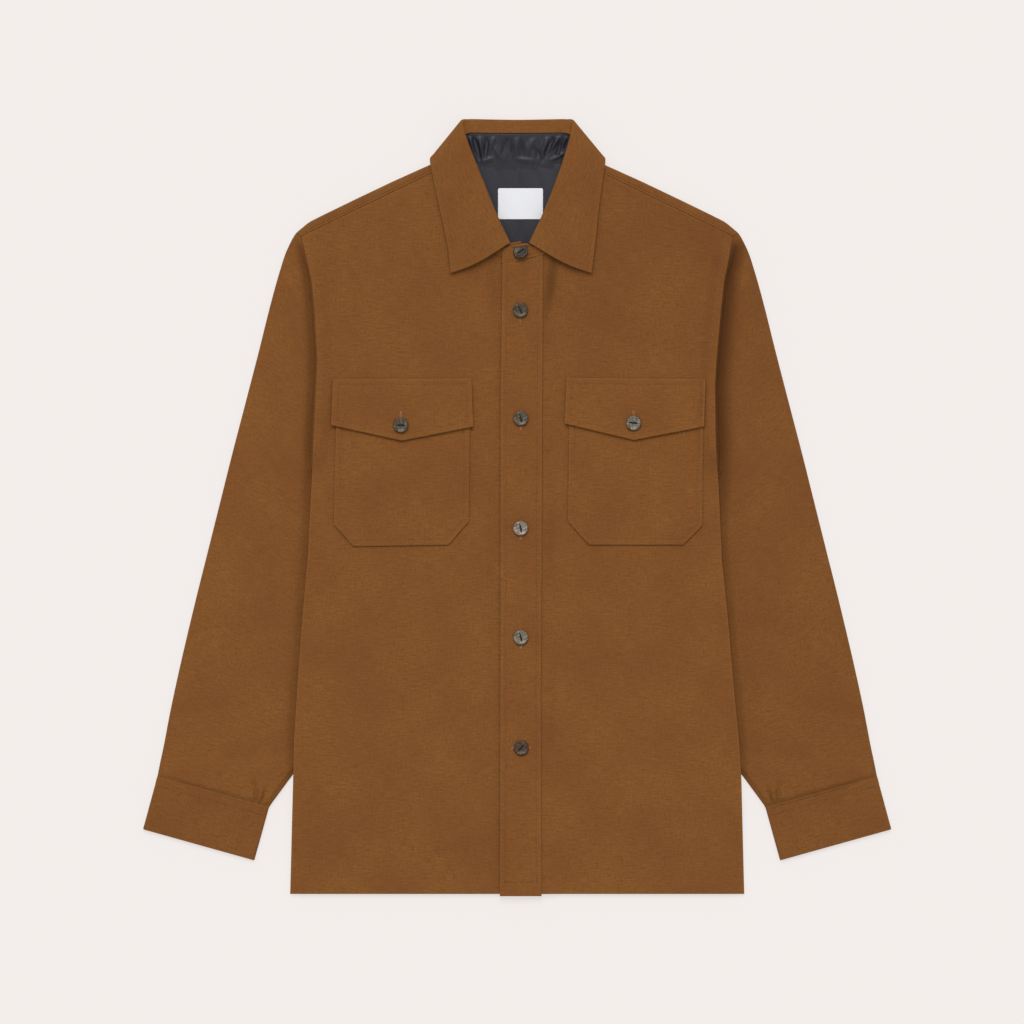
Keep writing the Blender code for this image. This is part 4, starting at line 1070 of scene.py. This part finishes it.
# How far the rolled edge lies towards the wearer's left at each station
ROLL_LEAN = (2.35, 2.4, 2.45, 1.8, 0.7, 0.2, 0.0, 0.0, 0.0)
STAND_CLEAR = 2.2
TAB_STITCH = 4.0
RIDGE_ROUND = 1.6
COLLAR_SWELL = 1.1
COLLAR_STITCH = 5.4
LEAF_DEEP = 60.0
# Where each station's stand meets the neck: x, y, z
STAND_FOOT = (
    (22.9, 252.2, 7.2), (45.0, 277.6, 5.4), (56.8, 305.6, 5.6), (62.8, 325.8, 6.3),
    (65.0, 341.0, 6.8), (65.6, 347.4, 5.0), (58.5, 347.8, 3.2), (32.0, 340.0, 3.2),
    (0.0, 338.6, 3.2),
)
# The stand's front ends past the collar's corners: foot x, y, z, then top x, y, z
STAND_TABS = {
    "left": ((13.0, 248.9, 8.0, 10.0, 263.4, 8.9), (-0.9, 245.0, 7.9, 1.1, 262.3, 8.8),
             (-9.6, 243.2, 7.9, -6.6, 261.4, 8.8), (-14.0, 243.0, 7.9, -10.8, 259.9, 8.7),
             (-15.0, 244.2, 7.9, -14.2, 256.6, 8.5), (-15.3, 247.0, 8.0, -15.3, 252.5, 8.3)),
    "right": ((-13.0, 249.0, 5.0, -7.5, 263.6, 6.8), (-4.0, 248.0, 4.5, -1.0, 265.0, 6.6),
              (2.0, 249.0, 4.4, 3.4, 265.6, 5.6), (5.0, 254.0, 4.4, 5.2, 259.0, 4.8)),
}
TAB_ROWS = 46
# Heights of the stand's foot and top where the tabs start
TAB_ROOT_Z = {"left": (7.8, 9.4), "right": (5.6, 8.0)}
# The left tab's edge, past its buttonhole, lies over the button's rim: x of the middle, half
# width and height of the rise
TAB_LIP = (3.6, 11.0, 1.9)
TAB_LIP_EDGE = 2.1
LEAF_BULGE = 2.8


def round_the_neck(half, lean=None):
    """Mirror a line's half, so that it runs from the right front round to the left front."""
    half = np.asarray(half, float)
    lean = collar_lean(half[:, 1]) if lean is None else np.array(lean)
    right = np.column_stack([lean - half[:, 0], half[:, 1:]])[:-1]
    left = np.column_stack([lean + half[:, 0], half[:, 1:]])[:-1]
    return np.concatenate([right, half[-1:], left[::-1]])


def make_fall():
    last = 2 * (len(COLLAR_STATIONS) - 1)
    ends = np.array([0.0, 0.004, 0.012, 0.028, 0.06, 0.11, 0.15, 0.175, 0.19, 0.2, 0.21, 0.225,
                     0.25, 0.3, 0.38])
    at = np.concatenate([ends, np.linspace(0.46, last - 0.46, 190), last - ends[::-1]])
    ridge = smooth_line(round_the_neck([row[1] for row in COLLAR_STATIONS], ROLL_LEAN), at)
    edge_line = smooth_line(round_the_neck([row[2] for row in COLLAR_STATIONS]), at)
    seam = smooth_line(round_the_neck([row[3] for row in COLLAR_STATIONS], ROLL_LEAN), at)
    along = distances((ridge + edge_line) / 2)
    tangent = unit(np.gradient(ridge, axis=0))
    inward = unit((seam + edge_line) / 2 - ridge)
    over = unit(np.cross(tangent, inward))
    turn_in = ridge + (inward - over) * RIDGE_ROUND
    turn_out = ridge + (inward + over) * RIDGE_ROUND
    columns = [mix(seam, turn_in, share) for share in (0.0, 0.05, 0.12, 0.25, 0.45, 0.7, 0.9)]
    for angle in np.linspace(-90.0, 90.0, 9):
        turn = math.radians(angle)
        columns.append(ridge + inward * RIDGE_ROUND * (1.0 - math.cos(turn))
                       + over * RIDGE_ROUND * math.sin(turn))
    shares = spaced(LEAF_DEEP, 2.0, last=(COLLAR_STITCH,)) / LEAF_DEEP
    shares = shares[shares > 0.04]
    crown = COLLAR_SWELL * np.clip(over[:, 2:3], 0.0, 1.0)
    for share in shares:
        point = mix(turn_out, edge_line, share)
        point[:, 2:3] += crown * ease(share / 0.3) * ease((1.0 - share) / 0.35)
        bulge = LEAF_BULGE * math.sin(math.pi * share ** 1.2)
        for end, sign, reach in ((0, -1.0, along), (-1, 1.0, along[-1] - along)):
            point += sign * bulge * tangent[end] * (1.0 - ease(reach / 45.0))[:, None]
        columns.append(point)
    middle = np.stack(columns, 1)
    middle[..., 2] = np.maximum(middle[..., 2], COLLAR_WALL / 2)
    across = np.concatenate([np.zeros((len(middle), 1)), np.cumsum(np.linalg.norm(
        np.diff(middle, axis=1), axis=2), 1)], 1)
    cut = np.dstack([np.broadcast_to(along[:, None], across.shape), across])
    outer = np.arange(middle.shape[1]) > 20

    def relief(edge):
        along_seam = cut[..., 0] + cut[..., 1]
        return stitched(edge, along_seam, COLLAR_STITCH, fold=0.15, deep=0.26) * outer

    obj = shell("collar_fall_turned", middle, COLLAR_WALL, COTTON, cut, relief, out=-1.0)
    stand_for(obj, "collar_fall")


def neck_lines(at):
    """The stand's two edges round the neck, at places counted in stations."""
    top = []
    for row, low in zip(COLLAR_STATIONS, STAND_FOOT):
        seam = np.array([row[3][0], row[3][1], row[4]])
        down = np.array(low) - seam
        top.append(seam + unit(down) * STAND_CLEAR)
    foot, top = round_the_neck(STAND_FOOT), round_the_neck(top, ROLL_LEAN)
    foot[0, 2], top[0, 2] = TAB_ROOT_Z["right"]
    foot[-1, 2], top[-1, 2] = TAB_ROOT_Z["left"]
    return smooth_line(foot, at), smooth_line(top, at)


def make_stand():
    last = 2 * (len(STAND_FOOT) - 1)
    foot, top = neck_lines(np.linspace(0.0, last, 140))
    for side_name, tab in STAND_TABS.items():
        root = -1 if side_name == "left" else 0
        tab = np.array(tab)
        at = np.linspace(0.0, len(tab), TAB_ROWS)[1:]
        foot_line = smooth_line(np.concatenate([foot[root][None], tab[:, :3]]), at)
        top_line = smooth_line(np.concatenate([top[root][None], tab[:, 3:]]), at)
        if side_name == "left":
            foot, top = np.concatenate([foot, foot_line]), np.concatenate([top, top_line])
        else:
            foot = np.concatenate([foot_line[::-1], foot])
            top = np.concatenate([top_line[::-1], top])
    middle_x, half_wide, height = TAB_LIP
    on_tab = np.arange(len(foot)) > len(foot) - TAB_ROWS
    over_button = on_tab * ease(1.6 - 1.6 * np.abs(top[:, 0] - middle_x) / half_wide)
    shares = spaced(20.0, 1.2, first=(4.4,), last=(TAB_LIP_EDGE,)) / 20.0
    middle = np.stack([mix(foot, top, share) for share in shares], 1)
    from_top = np.linalg.norm(middle - middle[:, -1:], axis=2)
    middle[..., 2] += (height * over_button[:, None]
                       * ease((TAB_LIP_EDGE - from_top) / 0.8 + 0.5))
    along = distances(foot)
    cut = np.dstack([np.broadcast_to(along[:, None], middle.shape[:2]),
                     np.broadcast_to(shares[None] * 24.0, middle.shape[:2])])
    tall = np.linalg.norm(middle[:, -1] - middle[:, 0], axis=1)[:, None]
    from_foot = shares[None] * tall

    def relief(edge):
        ends = ease(tall / 9.0)
        return (stitched(from_foot, along[:, None], TAB_STITCH, fold=0.2) * ends
                + 0.25 * (1.0 - ease((edge - 0.5) / 2.0)) * (shares[None] > 0.5))

    obj = shell("collar_stand_band", middle, CLOTH, COTTON, cut, relief, out=-1.0)
    stand_for(obj, "collar_stand")
    front_end = slice(-60, -6)
    row = mix(middle[front_end, 0], middle[front_end, -1], TAB_STITCH / tall[front_end])
    row = row + np.array([0.0, 0.0, CLOTH / 2])
    sew("stitching_stand", [row])


make_stand()
make_fall()


# ---------------------------------------------------------------- the lining and the label
# Dark viscose satin inside the back and on the inside of the stand, where it is eased in and
# crumples, and a blank woven label sewn to it below the neck.
LINING_WALL = 1.0
BACK_LINING_END = (24.0, 238.0)      # half width and height
BACK_LINING_NECK = (44.0, 3.5)       # half width, and height above the neck's edge
LABEL = (-19.2, 25.8, 287.7, 318.7)
LABEL_WALL = 0.8
# Crumples of the stand's lining: x, y, half length, half width, angle, height
CRUMPLES = (
    (-46.0, 364.0, 15.0, 3.0, 100.0, 1.5), (-41.0, 360.0, 19.0, 2.6, 108.0, -1.2),
    (-36.0, 361.0, 18.0, 3.0, 100.0, 1.6), (-31.0, 358.0, 17.0, 2.6, 84.0, -1.3),
    (-26.0, 363.0, 14.0, 3.4, 70.0, 1.2), (-19.0, 354.0, 14.0, 3.8, 118.0, 0.9),
    (-12.0, 362.0, 15.0, 3.0, 75.0, -0.7), (-5.0, 357.0, 17.0, 2.4, 98.0, -0.8),
    (-1.0, 360.0, 18.0, 2.6, 84.0, 1.0), (5.0, 357.0, 16.0, 3.2, 95.0, -0.6),
    (12.0, 360.0, 16.0, 4.0, 62.0, 0.9), (22.0, 352.0, 12.0, 3.4, 120.0, -0.8),
    (27.0, 360.0, 18.0, 3.0, 70.0, 1.5), (32.0, 359.0, 17.0, 2.6, 66.0, -1.3),
    (38.0, 364.0, 15.0, 2.8, 58.0, 1.5), (42.0, 358.0, 16.0, 2.6, 74.0, -1.0),
    (47.0, 366.0, 13.0, 3.0, 64.0, 1.4), (40.0, 350.0, 10.0, 3.0, 30.0, 0.9),
    (-30.0, 347.0, 9.0, 4.0, 20.0, 0.6), (8.0, 347.0, 14.0, 4.0, 172.0, 0.5),
)


def satin():
    """Viscose satin: long smooth floats, with a soft sheen along them and bluish black dye."""
    material, tree, shader = new_material("viscose_satin", specular=0.3, roughness=0.42,
                                          anisotropic=0.3)
    place = add_node(tree, "ShaderNodeUVMap", {"uv_map": "cut"}).outputs["UV"]
    # Floats 0.25 mm apart, drawn at 0.5 mm
    floats = grain(tree, place, (1 / 0.5, 1 / 6.0, 1.0), Detail=1.0)
    colour = blend(tree, floats, "#242329", "#33323b")
    # Painted shade: the creases' valleys, and the satin under the roll, are painted near black
    colour = darkened(tree, colour, "#0d0c10", 0.5)
    dress(tree, shader, colour, floats, 0.2, 0.1)
    return material


def label_weave():
    """Woven polyester label, white with a fine rib."""
    material, tree, shader = new_material("woven_polyester_label", roughness=0.55)
    place = add_node(tree, "ShaderNodeUVMap", {"uv_map": "cut"}).outputs["UV"]
    # Ribs 0.4 mm apart, drawn at 0.6 mm
    rib = add_node(tree, "ShaderNodeTexWave", {"bands_direction": "Y", "Scale": 0.5,
                                               "Distortion": 0.4}, {"Vector": place})
    colour = blend(tree, rib.outputs["Fac"], "#e7e8ed", "#eeeff3")
    dress(tree, shader, colour, rib.outputs["Fac"], 0.1, 0.05)
    return material


SATIN = satin()
LINING_RISE = CLOTH / 2 + GAP + LINING_WALL / 2


def neck_height(x):
    neck = np.array(BACK_NECK)
    return np.interp(np.abs(x), neck[:, 0], neck[:, 1])


def make_stand_lining():
    """Cover the inside of the stand, from one rolled edge round the neck to the other."""
    at = 4.0 + spaced(125.0, 0.9) / 125.0 * 8.0
    foot, top = neck_lines(at)
    v = spaced(36.0, 0.9) / 36.0
    seam = smooth_line(round_the_neck([row[3] for row in COLLAR_STATIONS], ROLL_LEAN), at)
    top[:, :2] = mix(top[:, :2], seam[:, :2], 0.85)
    middle = np.stack([mix(foot, top, share) for share in mix(-0.07, 1.0, v)])
    normal = unit(np.cross(np.gradient(middle, axis=1), np.gradient(middle, axis=0)))
    middle = middle + normal * np.sign(normal[..., 2:3]) * LINING_RISE
    x, y = middle[..., 0], middle[..., 1]
    crumpled = folds(CRUMPLES, x, y)

    def relief(edge):
        return (1.7 * crumpled + 0.35 * wobble(x * 1.7 + y * 0.4)) * ease((edge - 1.5) / 5.0)

    out = 1.0 if normal[20, 40, 2] > 0 else -1.0
    # Painted shade: the stand's lining is painted darker towards the rolled edges, which shade it
    obj = shell("stand_lining_satin", middle, LINING_WALL, SATIN, middle[..., :2], relief,
                out=out, extra_painted_shade=0.12 + 0.4 * ease((np.abs(x) - 22.0) / 22.0))
    stand_for(obj, "stand_lining")


def back_lining_lie(x, y):
    return back_lie(x, y) + LINING_RISE


def make_back_lining():
    u, v = spaced(88.0, 1.6) / 88.0, spaced(100.0, 1.6) / 100.0
    (low_half, low), (neck_half, above_neck) = BACK_LINING_END, BACK_LINING_NECK
    half = mix(low_half, neck_half, v)[:, None]
    x = mix(-half, half, u[None])
    y = mix(low, neck_height(x) + above_neck, v[:, None])
    x = x + collar_lean(y) * (1 - v[:, None])
    middle = np.dstack([x, y, back_lining_lie(x, y)])

    def relief(edge):
        centre = 0.35 * np.exp(-((x - 0.5) / 1.2) ** 2)
        return (centre + 0.15 * wobble(x * 0.5 + y * 0.2)) * ease(edge / 4.0)

    obj = shell("back_lining_satin", middle, LINING_WALL, SATIN, middle[..., :2], relief)
    stand_for(obj, "back_lining")


def make_label():
    x_from, x_to, y_from, y_to = LABEL
    wide, tall = x_to - x_from, y_to - y_from
    x = x_from + spaced(wide, 1.5, first=(1.8,), last=(1.8,))
    y = y_from + spaced(tall, 1.5)
    x, y = np.meshgrid(x, y)
    # Corners a little round, as heat-cut ribbon is
    corner = np.minimum(np.minimum(x - x_from, x_to - x), 2.0) / 2.0
    rise = LINING_WALL / 2 + GAP + LABEL_WALL / 2
    y = mix((y_from + y_to) / 2, y, mix(0.9, 1.0, np.sqrt(1.0 - (1.0 - corner) ** 2)))
    middle = np.dstack([x, y, back_lining_lie(x, y) + rise])

    def relief(edge):
        return 0.12 * wobble(x * 0.4 + y * 0.3) * ease(edge / 4.0)

    obj = shell("label_ribbon", middle, LABEL_WALL, label_weave(), middle[..., :2], relief)
    stand_for(obj, "neck_label")


make_stand_lining()
make_back_lining()
make_label()


# ---------------------------------------------------------------- the buttons
# Polyester cast to look like horn, turned and polished: two holes in an eye-shaped hollow, sewn
# on with a short bundle of dark thread. Each button is given its own dark, middle and pale colours.
BUTTON_WIDTH = 15.0
BUTTON_TALL = 2.8
BUTTON_DISH = 0.75         # how far the middle lies below the rim
BUTTON_EYE = (11.0, 1.9, 1.1)        # length, width, depth
BUTTON_HOLE = (1.7, 2.0)             # width, distance from the middle
# The stand's button leans under the tab's edge: degrees
BUTTON_TILT = {"button_stand": -24.0}
# Node: turn of the eye in degrees, then the marbling's dark, middle and pale colours
BUTTON_LOOKS = {
    "button_stand": (35, "#2a231b", "#3c3226", "#54483b"),
    "button_1": (-65, "#302920", "#483d2e", "#6e6254"),
    "button_2": (-77, "#393229", "#534939", "#7d7267"),
    "button_3": (-78, "#5a5145", "#857869", "#b5ab9c"),
    "button_4": (-76, "#504a3e", "#736b5b", "#9b9484"),
    "button_5": (48, "#30251b", "#463628", "#635343"),
    "button_pocket_right": (0, "#332c24", "#4e4436", "#776c5e"),
    "button_pocket_left": (-5, "#4a443a", "#6b6355", "#968e7e"),
}


def horn(name, dark, middle, pale):
    """Cast polyester with horn's grain: streaks about 1 mm wide, glossy from tumbling.

    The rim's side and the sunk eye are painted darker: painted shade.
    """
    material, tree, shader = new_material("horn_polyester_" + name, specular=0.3, roughness=0.34)
    place = add_node(tree, "ShaderNodeTexCoord").outputs["Object"]
    streaks = grain(tree, place, (900.0, 260.0, 500.0), Detail=4.0, Distortion=1.2)
    low = add_node(tree, "ShaderNodeMapRange", {"From Min": 0.35, "From Max": 0.5},
                   {"Value": streaks})
    high = add_node(tree, "ShaderNodeMapRange", {"From Min": 0.5, "From Max": 0.68},
                    {"Value": streaks})
    colour = blend(tree, low.outputs["Result"], dark, middle)
    colour = blend(tree, high.outputs["Result"], colour, pale)
    out = add_node(tree, "ShaderNodeVectorMath", {"operation": "LENGTH"}, {0: add_node(
        tree, "ShaderNodeVectorMath", {"operation": "MULTIPLY", 1: (1.0, 1.0, 0.0)},
        {0: place}).outputs["Vector"]})
    # Painted shade on the rim's side and down in the sunk eye
    rim = add_node(tree, "ShaderNodeMapRange", {"From Min": 6.4 * MM, "From Max": 7.3 * MM,
                                                "To Max": 0.55}, {"Value": out.outputs["Value"]})
    height = add_node(tree, "ShaderNodeSeparateXYZ", {}, {"Vector": place})
    sunk = add_node(tree, "ShaderNodeMapRange", {"From Min": (BUTTON_TALL - 0.9) * MM,
                                                 "From Max": (BUTTON_TALL - 1.15) * MM,
                                                 "To Max": 0.9}, {"Value": height.outputs["Z"]})
    rim_and_eye_painted_shade = add_node(tree, "ShaderNodeMath", {"operation": "MAXIMUM"},
                    {0: rim.outputs["Result"], 1: sunk.outputs["Result"]})
    colour = blend(tree, rim_and_eye_painted_shade.outputs[0], colour, "#1d1610")
    tree.links.new(colour, shader.inputs["Base Color"])
    return material


def upright(name, outline, bottom, top):
    """An outline carried straight up, to cut with."""
    count = len(outline)
    places = [(x, y, z) for z in (bottom, top) for x, y in outline]
    faces = [(k, (k + 1) % count, (k + 1) % count + count, k + count) for k in range(count)]
    faces += [tuple(reversed(range(count))), tuple(range(count, 2 * count))]
    return put(name, new_mesh(name, places, faces))


def button_blank():
    """The button's mesh: a turned profile, with the eye and the holes cut out."""
    radius, tall = BUTTON_WIDTH / 2, BUTTON_TALL
    profile = [(3.0, tall - 0.72), (radius - 2.6, tall - 0.55), (radius - 1.9, tall - 0.2),
               (radius - 1.2, tall), (radius - 0.6, tall - 0.12), (radius - 0.15, tall - 0.5),
               (radius, tall - 1.0), (radius - 0.15, 1.0), (radius - 0.8, 0.25),
               (radius - 1.8, 0.0)]
    steps = 72
    places, faces = [], []
    for x, z in profile:
        for k in range(steps):
            turn = math.tau * k / steps
            places.append((x * math.cos(turn), x * math.sin(turn), z))
    rings = len(profile)
    for ring in range(rings - 1):
        for k in range(steps):
            n = (k + 1) % steps
            faces.append((ring * steps + k, (ring + 1) * steps + k,
                          (ring + 1) * steps + n, ring * steps + n))
    faces.append(tuple(range(steps)))
    faces.append(tuple(reversed(range((rings - 1) * steps, rings * steps))))
    blank = put("button_blank", new_mesh("button_blank", places, faces))
    length, width, depth = BUTTON_EYE
    turns = [math.tau * k / 48 for k in range(48)]
    eye = [(math.cos(t) * length / 2, math.sin(t) * abs(math.sin(t)) * width / 2) for t in turns]
    cutters = [upright("cut_eye", eye, tall - BUTTON_DISH - depth, tall + 1.0)]
    wide, apart = BUTTON_HOLE
    for sign in (-1, 1):
        ring = [(sign * apart + math.cos(math.tau * k / 20) * wide / 2,
                 math.sin(math.tau * k / 20) * wide / 2) for k in range(20)]
        cutters.append(upright("cut_hole", ring, -1.0, tall + 1.0))
    for cutter in cutters:
        cut = blank.modifiers.new("cut", "BOOLEAN")
        cut.operation = "DIFFERENCE"
        cut.object = cutter
    rounded = blank.modifiers.new("soft_edges", "BEVEL")
    rounded.width = 0.08 * MM
    rounded.segments = 2
    rounded.limit_method = "ANGLE"
    rounded.angle_limit = math.radians(40)
    bpy.context.view_layer.update()
    result = bpy.data.meshes.new_from_object(
        blank.evaluated_get(bpy.context.evaluated_depsgraph_get()))
    for obj in (blank, *cutters):
        bpy.data.objects.remove(obj)
    result.shade_smooth()
    result.set_sharp_from_angle(angle=math.radians(35))
    return result


def thread_bundle():
    """Four strands of thread across the eye, from hole to hole, diving into each."""
    _, apart = BUTTON_HOLE
    floor = BUTTON_TALL - BUTTON_DISH - BUTTON_EYE[2]
    half = [(-apart - 0.1, floor - 1.2), (-apart + 0.05, floor + 0.1),
            (-apart + 0.5, floor + 0.5)]
    path = [*half, (0.0, floor + 0.62), *((-x, z) for x, z in reversed(half))]
    places, faces = [], []
    for shift, lift in ((-0.36, 0.0), (-0.12, 0.16), (0.14, 0.1), (0.38, -0.02)):
        strand = np.array([(x, shift, z + lift) for x, z in path])
        add_tube(places, faces, strand, [0.17] * len(path), np.array([0.0, -1.0, 0.0]), sides=8)
    return new_mesh("button_thread", places, faces, BUTTON_THREAD)


BUTTON_THREAD, _, _ = new_material("button_thread", roughness=0.6,
                                   base_color=linear_rgb("#241d17"))
BUTTON_MESH = button_blank()
THREAD_MESH = thread_bundle()
for node, (turn, dark, middle_tone, pale) in BUTTON_LOOKS.items():
    low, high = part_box(node)
    spot = ((low.x + high.x) / 2, (low.y + high.y) / 2, low.z)
    button = put(node + "_turned", BUTTON_MESH.copy())
    button.data.materials.clear()
    button.data.materials.append(horn(node, dark, middle_tone, pale))
    bundle = put(node + "_thread", THREAD_MESH)
    tilt = math.radians(BUTTON_TILT.get(node, 0.0))
    tipped = (0.0, math.sin(tilt) * BUTTON_TALL * MM, (1.0 - math.cos(tilt)) * BUTTON_TALL * MM)
    for piece in (button, bundle):
        piece.location = [at + shift for at, shift in zip(spot, tipped)]
        piece.rotation_euler = (tilt, 0.0, math.radians(turn))
        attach(piece, "root")
    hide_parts(node)


# ---------------------------------------------------------------- the buttonholes
# A slit through the band, closed round by close stitches in pinkish brown thread. Only its ends
# show past the button.
BUTTONHOLE_LONG = 18.0
BUTTONHOLE_WIDE = 2.2
BITE_PITCH = 0.42
# One bite of the thread: share of its length, radius, and how deep it lies in the cloth
BUTTONHOLE_BITE = ((0.0, 0.1, 0.25), (0.2, 0.2, 0.0), (0.8, 0.2, 0.0), (1.0, 0.1, 0.25))
# x, y of the middle, turn of the slit in degrees, height of the cloth it is cut in
BUTTONHOLES = (
    (3.2, 195.1, 90, placket_lie),
    (3.6, 86.9, 90, placket_lie),
    (3.4, -22.7, 90, placket_lie),
    (3.6, -131.7, 90, placket_lie),
    (4.0, -240.3, 0, placket_lie),
    (-116.2, 86.0, 90, lambda x, y: flap_lie("right", x, y)),
    (116.2, 86.5, 90, lambda x, y: flap_lie("left", x, y)),
)


def make_buttonhole(number, x, y, turn, face):
    """Two beads of close stitches with a bar at each end, on the face of the cloth."""
    turn = math.radians(turn)
    half, wide = BUTTONHOLE_LONG / 2, BUTTONHOLE_WIDE / 2
    places, faces = [], []
    share, size, sink = np.array(BUTTONHOLE_BITE).T
    # Each bite: place along the slit, then across it at both ends
    bites = [(s * BITE_PITCH, side * 0.15, side * wide) for side in (-1, 1) for s in range(-20, 21)]
    bites += [(end * (half + k * 0.35 - 0.35), -wide * 0.9, wide * 0.9)
              for end in (-1, 1) for k in range(3)]
    for along, start, end in bites:
        across = np.array([start, end])
        px = x + along * math.cos(turn) - across * math.sin(turn)
        py = y + along * math.sin(turn) + across * math.cos(turn)
        line = on_face(np.column_stack([px, py]), face)
        way = unit((line[1] - line[0])[:2])
        bite = mix(line[:1], line[1:], share[:, None])
        bite[:, 2] += 0.05 - sink
        add_tube(places, faces, bite, size, np.array([way[1], -way[0], 0.0]))
    name = "buttonhole_%d" % number
    obj = put(name, new_mesh(name, places, faces, BUTTONHOLE_THREAD))
    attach(obj, "root")


BUTTONHOLE_THREAD, _, _ = new_material("buttonhole_thread", roughness=0.65,
                                       base_color=linear_rgb("#a8775a"))
for count, hole in enumerate(BUTTONHOLES, 1):
    make_buttonhole(count, *hole)


# ---------------------------------------------------------------- table, light and camera
# A plain pale light table, which keeps the shadows round the shirt faint, under a wide soft
# light from past the collar and pale studio walls. A long lens looks straight down.
TABLE_WIDE = 8000.0
TABLE_COLOUR = "#f3eeeb"
TABLE_GLOW = 0.727
TABLE_SCATTER = 0.255
KEY_TOWARDS = (-0.06, 0.55, 0.83)
KEY_STRENGTH = 1.72
KEY_WIDE = 38.0
WALLS_STRENGTH = 0.55
WALLS_COLOUR = (1.0, 0.995, 0.99, 1.0)
CAMERA_PLACE = (-0.0052, -0.0048, 5.69)
CAMERA_LENS = 200.0


def make_stage():
    pale = linear_rgb(TABLE_COLOUR)
    material, _, _ = new_material("opal_acrylic_table", roughness=0.9,
                                  base_color=[c * TABLE_SCATTER for c in pale[:3]] + [1.0],
                                  emission_color=pale, emission_strength=TABLE_GLOW)
    half = TABLE_WIDE / 2
    corners = [(-half, -half, 0), (half, -half, 0), (half, half, 0), (-half, half, 0)]
    table = put("table", new_mesh("table", corners, [(0, 1, 2, 3)], material))
    table.location.z = -GAP * MM
    light = bpy.data.lights.new("key", "SUN")
    light.energy = KEY_STRENGTH
    light.angle = math.radians(KEY_WIDE)
    key = put("key", light)
    key.rotation_euler = Vector(KEY_TOWARDS).to_track_quat("Z", "Y").to_euler()
    world = bpy.data.worlds.new("studio_walls")
    world.use_nodes = True
    walls = world.node_tree.nodes["Background"]
    walls.inputs["Color"].default_value = WALLS_COLOUR
    walls.inputs["Strength"].default_value = WALLS_STRENGTH
    bpy.context.scene.world = world
    lens = bpy.data.cameras.new("camera")
    lens.lens, lens.sensor_width = CAMERA_LENS, 36.0
    camera = put("camera", lens)
    camera.location = CAMERA_PLACE
    bpy.context.scene.camera = camera
    bpy.context.scene.view_settings.view_transform = "Standard"


make_stage()
